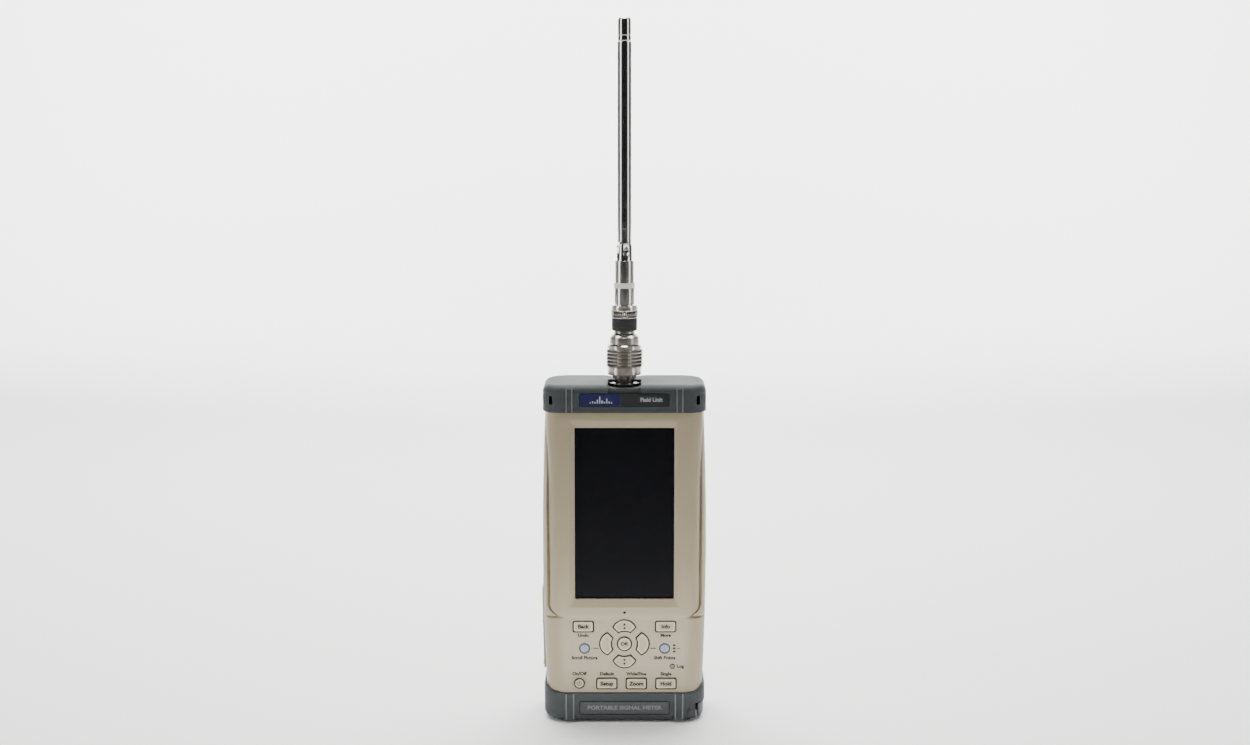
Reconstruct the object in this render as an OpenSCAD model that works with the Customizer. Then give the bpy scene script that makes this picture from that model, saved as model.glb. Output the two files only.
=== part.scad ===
// Handheld RF spectrum analyzer with a telescopic antenna on its input socket.
// Millimetres. +Z up, the display looks along -Y, and the origin is on the
// surface that the instrument stands on, under the middle of its base.

/* [Case] */
// Half of the case's greatest width, at the flanks
case_half_w = 46; // [45:0.25:47]
// Front face of the case, measured forwards from the middle
case_front = 22.5; // [22:0.25:23.5]
// Back face of the case
case_back = 22.5; // [22:0.25:23.5]
// Wall thickness of both shells
wall = 2.2; // [1.8:0.1:2.4]
// How much narrower the case is at its ends than at its flanks
flank_sag = 2.4; // [0.5:0.1:3]
// How far the display's surround stands in front of the keypad
bezel_proud = 0.5; // [0:0.1:1]

/* [Bumpers] */
// Half depth of the rubber end caps
bumper_half_d = 24.75; // [24.5:0.05:25.5]
// Half width of the rubber end caps
bumper_half_w = 45.5; // [45.2:0.1:46.5]
// Top of the instrument without its connector
body_top = 192; // [191.6:0.1:192.6]
// Height of the ribs on the end caps
rib = 0.45; // [0:0.05:0.8]
// Height of the rubber feet
foot_h = 1.0; // [0.6:0.1:1.2]

/* [Display] */
// Width of the visible display
screen_w = 55.4; // [50:0.2:56]
// Lower edge of the visible display
screen_z0 = 71; // [70:0.5:74]
// Upper edge of the visible display
screen_z1 = 168; // [160:0.5:168]

/* [Keys] */
// Gap between a key and its opening
key_gap = 0.5; // [0.3:0.05:0.6]
// How far a key stands in front of the face
key_proud = 0.9; // [0.4:0.1:1.2]
// Radius of a lamp's lens
lamp_r = 2.6; // [2:0.1:3]

/* [Rear stand] */
// Half width of the tilt stand
stand_half_w = 33; // [30:0.5:34]
// Thickness of the tilt stand
stand_t = 4; // [3:0.2:4]
// Width of each leg of the tilt stand
stand_leg = 7.5; // [5:0.5:7.5]

/* [Antenna] */
// Diameter of the outer antenna tube
whip_d = 7.9; // [7.8:0.05:8.1]
// Turn of the antenna's elbow about the vertical
elbow_turn = 14; // [-90:1:90]
// Number of ridges round the knurled nut
nut_ridges = 40; // [24:2:60]

/* [Hidden] */
$fn = 64;
eps = 0.01;
fit = 0.1;                         // clearance between fixed parts that nest
case_z0 = 4.6;                     // closed ends of the case, inside the end caps
case_z1 = 188.4;
bumper_low = 17.2;                 // edges where the end caps meet the case
bumper_high = 176.6;
split_y = -9;                      // joint plane between the two shells
end_half_w = 42.3;                 // the case ends are smaller, to enter the end caps
spigot = 1.6;
front_r = 12;
back_r = 9;
bezel_y = -case_front - bezel_proud;
bezel_z0 = 60.5;
bezel_half_w = 42;
groove_y = -15.2;                  // floor of the groove beside the display's surround
panel_y = -20.1;                   // front of the touch panel
lcd_y = -18.6;
face_in = -case_front + wall;      // inner surface of the front face
flange_y = [face_in + 0.3, face_in + 1.0];
mat_y = [-17.6, -17.0];
keyboard_y = -15.4;
board_y = [-6.6, -5.0];
board = [-38, 17, 35.5, 172];      // left, bottom, right, top of the main board
screws = [[-31, 12], [31, 12], [-36, 181], [36, 181]];
pad_at = [[-23.1, 55.4], [23.1, 55.4], [-9.9, 22.4], [6.7, 22.4], [23.35, 22.4]];
pad_half = [5.3, 2.7];
ring_at = [0, 45.4];               // middle of the direction keys
power_at = [-25.4, 22.4];
navigate_at = [-22.4, 42.7];
marker_at = [22.6, 42.7];
disk_at = [27, 32.3];
disk_r = 1.4;
key_bosses = [[-33, 20.5], [33, 20.5], [-33, 62], [33, 62]];
board_bosses = [[-32.5, 23], [32, 23], [-32.5, 166], [32, 166]];
stand_axis = [20.4, 124];          // y and z of the tilt stand's pivots
stand_y0 = stand_axis[0] - stand_t / 2;
stand_z0 = 27;
trunnion_r = 1.5;
cover = [23.5, 37.2, 118];         // half width, bottom and top of the battery cover
cover_t = 1.7;
cover_screws = [[-14, 39.7], [14, 39.7], [-14, 115.4], [14, 115.4]];
cell = [18.8, 42.5, 112.5, -0.8, 18.6];  // battery: half width, z0, z1, y0, y1
door_z = [27.3, 73.7];
door_y0 = -7.4;
hinge = [-45, 9];                  // x and y of the side door's pivots
hinge_r = 0.9;
lug_z = [24.6, 76.4];
bay_x = -43.4;                     // floor of the bay behind the side door
port_x = bay_x + 0.1;
stylus_at = [39.2, -3];
stylus_r = 1.95;
stylus_top = 108;
jack_r = 6.5;
nut_z = [195.2, 212.2];
collar_z = [220.2, 234.3];
pivot_z = 265.1;                   // height of the antenna's elbow
whip_z = [276.8, 379.8];
whip_step = 0.5;                   // each inner tube is this much smaller in radius
whip_wall = 0.42;
grey = [0.36, 0.38, 0.385];
beige = [0.62, 0.58, 0.50];
pale = [0.78, 0.75, 0.68];
green = [0.10, 0.32, 0.20];
nickel = [0.76, 0.74, 0.71];
black = [0.07, 0.07, 0.08];
white = [0.86, 0.85, 0.84];

// ---------- outlines and shorthand ----------
function arc(cx, cy, r, a0, a1, n = 8) =
    [for (i = [0:n]) [cx + r * cos(a0 + (a1 - a0) * i / n), cy + r * sin(a0 + (a1 - a0) * i / n)]];

// Rounded rectangle from (-hw, lo) to (hw, hi), with its own radius at each end
function rounded(hw, lo, hi, r_lo, r_hi, n = 8) = concat(
    arc(-hw + r_lo, lo + r_lo, r_lo, 180, 270, n), arc(hw - r_lo, lo + r_lo, r_lo, -90, 0, n),
    arc(hw - r_hi, hi - r_hi, r_hi, 0, 90, n), arc(-hw + r_hi, hi - r_hi, r_hi, 90, 180, n));

function flank(z) = case_half_w - flank_sag * pow((z - 100) / 90, 2);

// Barrel outline of the case seen from the front, taken in by a margin
function barrel(z0, z1, margin) = concat(
    [for (i = [0:12]) [flank(z0 + (z1 - z0) * i / 12) - margin, z0 + (z1 - z0) * i / 12]],
    [for (i = [12:-1:0]) [margin - flank(z0 + (z1 - z0) * i / 12), z0 + (z1 - z0) * i / 12]]);

// Extrudes an outline in (x, z) from y0 back to y1
module along_y(y0, y1) {
    translate([0, y1, 0]) rotate([90, 0, 0]) linear_extrude(y1 - y0) children();
}

// Extrudes an outline in (x, y) from z0 up to z1
module along_z(z0, z1) {
    translate([0, 0, z0]) linear_extrude(z1 - z0) children();
}

// Extrudes an outline in (z, y) from x0 to x1
module along_x(x0, x1) {
    translate([x1, 0, 0]) rotate([0, -90, 0]) linear_extrude(x1 - x0) children();
}

module box(x0, y0, z0, x1, y1, z1) {
    translate([x0, y0, z0]) cube([x1 - x0, y1 - y0, z1 - z0]);
}

// Cylinders along Z, Y and X between two stations
module post(x, y, z0, z1, r) { translate([x, y, z0]) cylinder(h = z1 - z0, r = r); }
module pin_y(x, z, y0, y1, r) { translate([x, y1, z]) rotate([90, 0, 0]) cylinder(h = y1 - y0, r = r); }
module pin_x(y, z, x0, x1, r) { translate([x0, y, z]) rotate([0, 90, 0]) cylinder(h = x1 - x0, r = r); }

// Tube about the antenna's own line
module tube(z0, z1, r_out, r_in) {
    difference() {
        post(0, 0, z0, z1, r_out);
        post(0, 0, z0 - 1, z1 + 1, r_in);
    }
}

// Ring with straight ridges round it
module ridged(z0, z1, r, depth, n) {
    along_z(z0, z1) polygon([for (i = [0:2 * n - 1])
        let (q = i % 2 == 0 ? r : r - depth) [q * cos(180 * i / n), q * sin(180 * i / n)]]);
}

// ---------- case ----------
module case_outside(margin) {
    intersection() {
        along_y(-40, 40) polygon(barrel(bumper_low + margin, bumper_high - margin, margin));
        along_z(0, 200) polygon(rounded(case_half_w - margin, margin - case_front,
            case_back - margin, front_r, back_r));
    }
    along_z(case_z0 + margin, case_z1 - margin) polygon(rounded(end_half_w - margin,
        margin - case_front + spigot, case_back - spigot - margin, front_r - spigot, back_r - spigot));
}

module case_inside() {
    difference() {
        union() {
            intersection() {
                along_y(-40, 40) polygon(barrel(bumper_low + 1, bumper_high - 1.4, wall));
                along_z(0, 200) polygon(rounded(case_half_w - wall, face_in, case_back - wall, 13, 7));
            }
            along_z(case_z0 + wall, case_z1 - wall) polygon(rounded(end_half_w - wall,
                face_in + spigot, case_back - spigot - wall, 10, 7));
        }
        // Solid corner round the stylus's head
        box(35.4, -40, 0, 60, 3.6, 13);
        // Thicker back under the stand and the battery cover
        difference() {
            box(-37.5, stand_y0 - 2.6, 20, 37.5, 40, 129);
            box(-22.3, 10, 39, 22.3, 18.8, 116.4);
        }
        // Inner wall of the bay behind the side door
        box(-60, door_y0 - 2.3, lug_z[0] - 2, bay_x + 2, hinge[1] + 4.5, lug_z[1] + 2);
    }
}

module bezel_outline() {
    polygon(concat(arc(7 - bezel_half_w, bezel_z0 + 7, 7, 180, 270),
        arc(bezel_half_w - 7, bezel_z0 + 7, 7, -90, 0),
        [[bezel_half_w + 0.2, 140], [bezel_half_w + 1.2, bumper_high],
        [-bezel_half_w - 1.2, bumper_high], [-bezel_half_w - 0.2, 140]]));
}

// Sloping frame round the display, mitred at its corners
module screen_recess() {
    half = screen_w / 2;
    deep = bezel_y + 1.2;
    intersection() {
        along_z(0, 200) polygon([[-half - 2, bezel_y - 0.1], [half + 2, bezel_y - 0.1],
            [half, deep], [half, panel_y + 1], [-half, panel_y + 1], [-half, deep]]);
        along_x(-60, 60) polygon([[screen_z0 - 5, bezel_y - 0.1], [screen_z1 + 4.2, bezel_y - 0.1],
            [screen_z1, deep], [screen_z1, panel_y + 1], [screen_z0, panel_y + 1],
            [screen_z0, deep]]);
    }
}

// Pocket for the stylus's head at the lower right corner
module stylus_pocket(gap) {
    box(41.5 - 1.6, -40, -1, 60, 1.2 + gap, 10.3 + gap);
    box(36.9 - gap, -6.2 - gap, -1, 42, 1.2 + gap, 10.3 + gap);
}

module front_case() {
    color(beige) difference() {
        union() {
            difference() {
                intersection() {
                    case_outside(0);
                    box(-60, -40, 0, 60, split_y, 200);
                }
                case_inside();
                // Groove between the display's surround and the flanks
                for (s = [-1, 1]) box(min(s * 41, s * 60), -40, 62, max(s * 41, s * 60), groove_y,
                    bumper_high);
            }
            intersection() {
                along_z(bezel_z0, bumper_high) polygon(rounded(bezel_half_w + 1.2, bezel_y,
                    groove_y + 0.6, 6, 0.5));
                along_y(-40, 40) bezel_outline();
                difference() {
                    box(-60, -40, 0, 60, 0, 200);
                    box(-38, face_in, 0, 38, 0, bumper_high - 1.4);
                    box(-39, -18.4, 0, 39, 0, bumper_high - 1.4);
                }
            }
            for (s = screws) pin_y(s[0], s[1], s[1] < 100 ? -19.5 : -19.5, split_y, 3.3);
            for (b = key_bosses) pin_y(b[0], b[1], face_in - 0.5, mat_y[1], 2);
        }
        // Seat of the gasket and the touch panel, and the view through to them
        box(-31.2, panel_y - 0.5, 67.6, 31.2, -12, 171.4);
        screen_recess();
        for (p = pad_at) translate([p[0], 0, p[1]]) along_y(-40, -15) polygon(rounded(
            pad_half[0] + key_gap, -pad_half[1] - key_gap, pad_half[1] + key_gap, 1, 1, 3));
        translate([ring_at[0], 0, ring_at[1]]) {
            for (a = [0:90:270]) along_y(-40, -15) rotate(a) arc_outline(7, 2.9, 7.2);
            pin_y(0, 0, -40, -15, 3.55 + key_gap);
        }
        pin_y(power_at[0], power_at[1], -40, -15, 2.4 + key_gap);
        pin_y(power_at[0], power_at[1], -40, -case_front + 0.5, 4.8);
        for (p = [navigate_at, marker_at]) {
            pin_y(p[0], p[1], -40, -15, lamp_r);
            pin_y(p[0], p[1], -40, -case_front + 0.2, lamp_r + 0.5);
        }
        pin_y(disk_at[0], disk_at[1], -40, -15, disk_r);
        pin_y(0, 63.5, -40, -case_front + 1.4, 0.45);
        for (s = screws) pin_y(s[0], s[1], -17.5, 0, 1.1);
        stylus_pocket(0.2);
        box(-60, -40, 0, 60, -21.5, 4);
    }
}

module rear_case() {
    color(beige) difference() {
        union() {
            difference() {
                intersection() {
                    case_outside(0);
                    box(-60, split_y, 0, 60, 40, 200);
                }
                case_inside();
            }
            for (s = screws) pin_y(s[0], s[1], split_y, 18.8, 3.3);
            for (b = board_bosses) {
                pin_y(b[0], b[1], board_y[1], 20.5, 2.4);
                pin_y(b[0], b[1], board_y[0] - 0.6, 0, 1.2);
            }
            // Battery compartment
            difference() {
                box(-cell[0] - 1.9, cell[3] - 1.5, cell[1] - 1.9, cell[0] + 1.9, 20, cell[2] + 1.9);
                box(-cell[0] - 0.4, cell[3], cell[1] - 0.4, cell[0] + 0.4, 21, cell[2] + 0.4);
            }
            // Lugs that carry the side door, and the stylus's tube
            for (z = [[lug_z[0], door_z[0] - 0.3], [door_z[1] + 0.3, lug_z[1]]])
                post(hinge[0], hinge[1], z[0], z[1], 1.9);
            post(stylus_at[0], stylus_at[1], case_z0 + 1, stylus_top + 2, stylus_r + 1.1);
        }
        for (s = screws) {
            pin_y(s[0], s[1], split_y - 1, 40, 1.6);
            pin_y(s[0], s[1], 12, 40, 2.9);
        }
        // Recess and pivots of the tilt stand, with a finger notch under its bar
        for (s = [-1, 1]) box(min(s * (stand_half_w + 0.6), s * (stand_half_w - stand_leg - 0.6)),
            stand_y0 - 0.4, stand_z0 - 0.6, max(s * (stand_half_w + 0.6),
            s * (stand_half_w - stand_leg - 0.6)), 40, stand_axis[1] + 2.6);
        box(-stand_half_w, stand_y0 - 0.4, stand_z0 - 0.6, stand_half_w, 40, stand_z0 + 8.6);
        box(-9, stand_y0 - 0.4, stand_z0 - 6, 9, 40, stand_z0);
        pin_x(stand_axis[0], stand_axis[1], -stand_half_w - 2.9, stand_half_w + 2.9, trunnion_r + 0.06);
        // Battery opening, with a ledge for its cover
        box(-cover[0] - 0.2, case_back - cover_t - 0.1, cover[1] - 0.2, cover[0] + 0.2, 40,
            cover[2] + 0.2);
        box(-cell[0] - 0.4, 18, cell[1] - 0.4, cell[0] + 0.4, 40, cell[2] + 0.4);
        for (s = cover_screws) pin_y(s[0], s[1], 16, 40, 0.8);
        // Bay behind the side door, its pivots, and the holes for the sockets
        box(-60, door_y0 - 0.3, door_z[0] - 0.3, bay_x, hinge[1], door_z[1] + 0.3);
        box(-60, 0, door_z[0] - 0.3, hinge[0], hinge[1] + 2.1, door_z[1] + 0.3);
        post(hinge[0], hinge[1], door_z[0] - 0.3, door_z[1] + 0.3, 2);
        post(hinge[0], hinge[1], door_z[0] - 2, door_z[1] + 2, hinge_r + 0.06);
        box(-60, board_y[1] - 0.1, 58.4, -38, 0.8, 71.6);
        box(-60, board_y[1] - 0.1, 48.1, -38, -1, 55.9);
        box(-60, board_y[1] - 0.1, 39.4, -38, 1.1, 45.6);
        box(-60, board_y[1] - 0.1, 28.4, -38, 4.1, 37.6);
        // Stylus bore and pocket, and the input socket's hole
        post(stylus_at[0], stylus_at[1], -1, stylus_top + 0.4, stylus_r + 0.09);
        stylus_pocket(0.2);
        post(0, 0, 180, 200, jack_r + fit);
    }
}

// ---------- end caps ----------
function cap_top(x) = body_top - 0.75 * (1 + cos(180 * min(1, abs(x) / 13)));

module top_bumper() {
    face = bumper_half_d - rib;
    color(grey) difference() {
        intersection() {
            union() {
                along_z(bumper_high, 200) polygon(rounded(bumper_half_w, -face, face, 13.6, 12));
                for (x = [-30.6, 30.6], s = [-1, 1])
                    box(x - 1.9, min(0, s * bumper_half_d), bumper_high, x + 1.9,
                        max(0, s * bumper_half_d), 200);
            }
            along_y(-40, 40) polygon(concat([[bumper_half_w + 1, 170], [bumper_half_w + 1, 186]],
                arc(bumper_half_w - 5.2, body_top - 5.6, 5.4, 0, 90, 6),
                [for (x = [39:-3:-39]) [x, cap_top(x)]],
                arc(5.2 - bumper_half_w, body_top - 5.6, 5.4, 90, 180, 6),
                [[-bumper_half_w - 1, 186], [-bumper_half_w - 1, 170]]));
            along_x(-60, 60) polygon(concat([[170, -bumper_half_d - 1]], [[170, bumper_half_d + 1]],
                [[body_top - 4, bumper_half_d + 1]], [[body_top - 4, bumper_half_d]],
                [for (a = [15:15:90]) [body_top - 4 + 4 * sin(a), bumper_half_d - 4 + 4 * cos(a)]],
                [for (a = [90:-15:0]) [body_top - 4 + 4 * sin(a), 4 - bumper_half_d - 4 * cos(a)]],
                [[body_top - 4, -bumper_half_d - 1]]));
        }
        case_outside(-fit);
        // Seat of the label
        box(-24.8, -40, 180.4, 24.8, -face + 0.8, 187.5);
        // Well for the input socket, open towards the front
        post(0, 0, 180, 200, 9.4);
        box(-9.3, -22.6, 189, 9.3, 0, 200);
        box(-9.1, -40, 187.6, 9.1, -face + 1.4, 200);
        // Strap anchors at both front corners
        for (s = [-1, 1]) {
            post(s * 41.2, -16.8, 182, 200, 1.2);
            box(min(s * 39, s * 60), -21, 181.7, max(s * 39, s * 60), -13.4, 185.6);
        }
    }
}

module bottom_bumper() {
    face = bumper_half_d - rib;
    color(grey) difference() {
        intersection() {
            union() {
                along_z(foot_h, 22) polygon(rounded(bumper_half_w, -face, face, 13.6, 12));
                for (x = [-30.7, 30.7], s = [-1, 1])
                    box(x - 2.5, min(0, s * bumper_half_d), foot_h, x + 2.5,
                        max(0, s * bumper_half_d), bumper_low);
            }
            along_y(-40, 40) polygon(concat(
                arc(5 - bumper_half_w + 0.3, foot_h + 5, 5, 180, 270, 6),
                arc(bumper_half_w - 5.3, foot_h + 5, 5, -90, 0, 6),
                [[bumper_half_w, bumper_low - 5], [bumper_half_w - 0.1, bumper_low + 3],
                [43, bumper_low], [-43, bumper_low], [0.1 - bumper_half_w, bumper_low + 3],
                [-bumper_half_w, bumper_low - 5]]));
            along_x(-60, 60) polygon(concat(
                [for (a = [0:15:90]) [foot_h + 3.5 - 3.5 * cos(a), 3.5 - bumper_half_d - 3.5 * sin(a)]],
                [[30, -bumper_half_d], [30, bumper_half_d]],
                [for (a = [90:-15:0]) [foot_h + 3.5 - 3.5 * cos(a), bumper_half_d - 3.5 + 3.5 * sin(a)]]));
        }
        case_outside(-fit);
        box(-25.1, -40, 4.9, 25.1, -face + 0.8, 12.4);
        stylus_pocket(0.3);
        post(stylus_at[0], stylus_at[1], 0, 20, 2.3);
        // Finger scoop beside the stylus
        translate([38.2, -26, -4.4]) rotate([-90, 0, 0]) cylinder(h = 14, r = 6.2);
        for (x = [-32, 32], y = [-14, 14]) foot(x, y, 5.1, foot_h - 1, foot_h + 0.8);
    }
}

module foot(x, y, r, z0, z1) {
    translate([x, y, 0]) along_z(z0, z1) polygon(rounded(r, -r + 1, r - 1, 2, 2, 4));
}

module base_feet() {
    color(black) for (x = [-32, 32], y = [-14, 14]) foot(x, y, 5, 0, foot_h + 0.8);
}

module top_label() {
    face = -bumper_half_d + rib;
    color(black) difference() {
        along_y(face + 0.1, face + 0.8) polygon(rounded(24.7, 180.5, 187.4, 0.6, 0.6, 3));
        box(-9.2, -40, 187.5, 9.2, 0, 190);
    }
}

module bottom_label() {
    face = -bumper_half_d + rib;
    color([0.48, 0.48, 0.47]) along_y(face + 0.1, face + 0.8)
        polygon(rounded(25, 5, 12.3, 1.2, 1.2, 4));
}

// ---------- display ----------
module screen_gasket() {
    color(black) difference() {
        box(-30.5, panel_y - 0.5, 68.3, 30.5, panel_y, 170.7);
        box(-28.6, -40, 70.2, 28.6, 0, 168.8);
    }
}

module touch_panel() {
    color(black) difference() {
        box(-30.5, panel_y, 68.3, 30.5, lcd_y, 170.7);
        box(-29.4, lcd_y - 0.2, 67, 29.4, 0, 69.3);
    }
}

module lcd_module() {
    color([0.55, 0.56, 0.58]) difference() {
        union() {
            box(-33.6, lcd_y, 66.5, 33.6, lcd_y + 4, 172);
            for (s = [-1, 1]) box(s * 27 - 3, lcd_y + 3.9, 70, s * 27 + 3, lcd_y + 5, 168);
            box(-14, lcd_y + 3.9, 76, 14, lcd_y + 6, 88);
        }
        box(-28.3, lcd_y - 1, 70.3, 28.3, lcd_y + 0.4, 168.7);
    }
}

// ---------- keypad ----------
// One direction key or its opening, drawn for the upper one
module arc_outline(r, apex, r_in) {
    difference() {
        intersection() {
            translate([0, 7]) circle(r);
            translate([0, apex]) rotate(45) square(30);
        }
        circle(r_in);
    }
}

// Key with a stepped top; the flange behind the face keeps it from falling out
module pad_key(i) {
    front = -case_front - key_proud;
    color(pale) translate([pad_at[i][0], 0, pad_at[i][1]]) {
        along_y(flange_y[0], flange_y[1]) polygon(rounded(pad_half[0] + 1.2, -pad_half[1] - 1.1,
            pad_half[1] + 1.1, 1, 1, 3));
        along_y(front + 0.4, flange_y[0] + eps) polygon(rounded(pad_half[0], -pad_half[1],
            pad_half[1], 0.8, 0.8, 3));
        along_y(front, front + 0.4 + eps) polygon(rounded(pad_half[0] - 0.5, 0.5 - pad_half[1],
            pad_half[1] - 0.5, 0.5, 0.5, 3));
        along_y(flange_y[1] - eps, flange_y[1] + 0.2) polygon(rounded(2, -1.5, 1.5, 0.5, 0.5, 3));
    }
}

module arc_key(turn) {
    front = -case_front - key_proud;
    color(pale) translate([ring_at[0], 0, ring_at[1]]) {
        along_y(flange_y[0], flange_y[1]) rotate(turn) arc_outline(7.6, 2.2, 5.6);
        along_y(front + 0.4, flange_y[0] + eps) rotate(turn) arc_outline(6.5, 3.6, 7.7);
        along_y(front, front + 0.4 + eps) rotate(turn) arc_outline(6.0, 4.3, 8.2);
    }
}

// Round key of a given radius
module round_key(p, r, front, flange) {
    color(pale) translate([p[0], 0, p[1]]) {
        pin_y(0, 0, flange_y[0], flange_y[1], flange);
        pin_y(0, 0, front + 0.35, flange_y[0] + eps, r);
        pin_y(0, 0, front, front + 0.36, r - 0.4);
    }
}

module exit_key() { pad_key(0); }
module status_key() { pad_key(1); }
module presets_key() { pad_key(2); }
module view_key() { pad_key(3); }
module run_key() { pad_key(4); }
module up_key() { arc_key(0); }
module left_key() { arc_key(90); }
module down_key() { arc_key(180); }
module right_key() { arc_key(270); }
module enter_key() { round_key(ring_at, 3.55, -case_front - key_proud, 4.9); }
module power_key() { round_key(power_at, 2.4, -case_front - 0.3, 3.7); }

module keypad_mat() {
    color([0.30, 0.30, 0.31]) difference() {
        union() {
            box(-30.4, mat_y[0], 17.8, 30.4, mat_y[1], 64);
            for (p = concat(pad_at, [power_at, ring_at])) pin_y(p[0], p[1], mat_y[0] - 0.4,
                mat_y[1], 2.2);
            for (a = [0:90:270]) pin_y(ring_at[0] + 10.4 * cos(a), ring_at[1] + 10.4 * sin(a),
                mat_y[0] - 0.4, mat_y[1], 2);
        }
        for (p = [navigate_at, marker_at]) pin_y(p[0], p[1], -30, 0, lamp_r + 0.4);
        pin_y(disk_at[0], disk_at[1], -30, 0, disk_r + 0.4);
    }
}

module keypad_board() {
    color(green) difference() {
        union() {
            box(-35.5, mat_y[1], 17.8, 35.5, keyboard_y, 64.5);
            box(-12, keyboard_y - eps, 57, 12, keyboard_y + 2, 62);
            for (p = [navigate_at, marker_at, disk_at]) pin_y(p[0], p[1], mat_y[0], mat_y[1] + eps, 1.2);
        }
        for (b = key_bosses) pin_y(b[0], b[1], -30, 0, 0.9);
    }
}

module lens(p, r, front) {
    color([0.55, 0.60, 0.63]) {
        pin_y(p[0], p[1], front, -18.2, r);
        pin_y(p[0], p[1], face_in, face_in + 0.7, r + 0.7);
    }
}
module navigate_lamp() { lens(navigate_at, lamp_r, -case_front + 0.1); }
module marker_lamp() { lens(marker_at, lamp_r, -case_front + 0.1); }
module disk_lamp() { lens(disk_at, disk_r, -case_front); }

// ---------- inside ----------
module main_board() {
    color(green) difference() {
        union() {
            box(board[0], board_y[0], board[1], board[2], board_y[1], board[3]);
            // Processor, memory, converters and the display's connector, in front
            box(-9, board_y[0] - 1.4, 78, 9, board_y[0] + eps, 96);
            for (z = [70, 102]) box(14, board_y[0] - 1.1, z, 25, board_y[0] + eps, z + 14);
            for (x = [-30, -18]) box(x, board_y[0] - 1.2, 104, x + 9, board_y[0] + eps, 113);
            box(-15, board_y[0] - 2, 60, 15, board_y[0] + eps, 64.5);
            for (x = [-28 : 7 : 21]) pin_y(x, 144, board_y[0] - 4.5, board_y[0] + eps, 2.6);
            for (z = [34 : 8 : 58]) box(-30, board_y[0] - 2.6, z, -24, board_y[0] + eps, z + 5);
            box(22, board_y[0] - 3.2, 30, 31, board_y[0] + eps, 40);
            box(-8, board_y[1] - eps, 118, 8, board_y[1] + 3, 123);
        }
        for (b = board_bosses) pin_y(b[0], b[1], -30, 0, 1.3);
    }
}

module rf_module() {
    color(nickel) {
        difference() {
            box(-27, board_y[1], 128, 27, 4.2, 158);
            box(-26.4, board_y[1] - 1, 128.6, 26.4, 3.6, 157.4);
        }
        for (x = [-10, 8]) box(x, board_y[1], 128.3, x + 0.6, 3.8, 157.7);
        post(14, 0, 157.8, 161, 2.6);
    }
}

// Screened lead from the module's plug up to the input socket, with its bends
module rf_lead() {
    color([0.55, 0.36, 0.22]) {
        post(14, 0, 161, 165, 1.3);
        translate([9, 0, 165]) rotate([90, 0, 0]) rotate_extrude(angle = 90)
            translate([5, 0]) circle(1.3);
        pin_x(0, 170, 5, 9, 1.3);
        translate([5, 0, 175]) rotate([90, 0, 0]) rotate([0, 0, 180]) rotate_extrude(angle = 90)
            translate([5, 0]) circle(1.3);
        post(0, 0, 175, 176.2, 1.3);
    }
}

module battery_pack() {
    h = cell[2] - cell[1];
    mid = (cell[3] + cell[4]) / 2;
    color([0.16, 0.30, 0.52]) {
        for (s = [-1, 1]) post(s * 9.3, mid, cell[1], cell[2], 9.4);
        box(-9.3, mid - 8.6, cell[1] + 0.5, 9.3, mid + 8.6, cell[2] - 0.5);
        box(-6, cell[3], cell[1] + 6, 6, mid, cell[2] - 6);
        box(-5, mid, cell[1] + h * 0.3, 5, cell[4], cell[1] + h * 0.7);
    }
}

module battery_cover() {
    color(beige) difference() {
        union() {
            box(-cover[0], case_back - cover_t, cover[1], cover[0], case_back, cover[2]);
            for (z = [58 : 18 : 100]) box(-16, 18.8, z, 16, case_back - cover_t + eps, z + 1.5);
        }
        for (s = cover_screws) {
            pin_y(s[0], s[1], 15, 40, 1.1);
            pin_y(s[0], s[1], case_back - 0.9, 40, 2.1);
        }
        for (z = [46 : 4 : 62]) box(-12, case_back - 0.5, z, 12, 40, z + 1.6);
    }
}

module battery_cover_screws() {
    color(nickel) for (s = cover_screws) difference() {
        union() {
            pin_y(s[0], s[1], 17, case_back - 0.85, 0.8);
            pin_y(s[0], s[1], case_back - 0.9, case_back - 0.1, 1.9);
        }
        box(s[0] - 1.3, case_back - 0.5, s[1] - 0.25, s[0] + 1.3, 30, s[1] + 0.25);
        box(s[0] - 0.25, case_back - 0.5, s[1] - 1.3, s[0] + 0.25, 30, s[1] + 1.3);
    }
}

module case_screws() {
    color(nickel) for (s = screws) difference() {
        union() {
            pin_y(s[0], s[1], -17, 12.1, 1.1);
            pin_y(s[0], s[1], 12.1 - eps, 14, 2.7);
        }
        pin_y(s[0], s[1], 13, 15, 1.2);
    }
}

module tilt_stand() {
    bar = stand_z0 + 8;
    color(beige) difference() {
        union() {
            for (s = [-1, 1]) {
                box(min(s * stand_half_w, s * (stand_half_w - stand_leg)), stand_y0, stand_z0,
                    max(s * stand_half_w, s * (stand_half_w - stand_leg)), stand_y0 + stand_t,
                    stand_axis[1]);
                pin_x(stand_axis[0], stand_axis[1], min(s * stand_half_w, s * (stand_half_w - stand_leg)),
                    max(s * stand_half_w, s * (stand_half_w - stand_leg)), stand_t / 2 - 0.05);
                pin_x(stand_axis[0], stand_axis[1], min(s * stand_half_w, s * (stand_half_w + 2.6)),
                    max(s * stand_half_w, s * (stand_half_w + 2.6)), trunnion_r);
            }
            box(-stand_half_w + 1, stand_y0, stand_z0, stand_half_w - 1, stand_y0 + stand_t, bar);
        }
        // Stiffening grooves
        for (s = [-1, 1]) box(s * (stand_half_w - stand_leg / 2) - 1.2, stand_y0 - 1, bar + 4,
            s * (stand_half_w - stand_leg / 2) + 1.2, stand_y0 + 1.6, stand_axis[1] - 8);
    }
}

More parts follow.
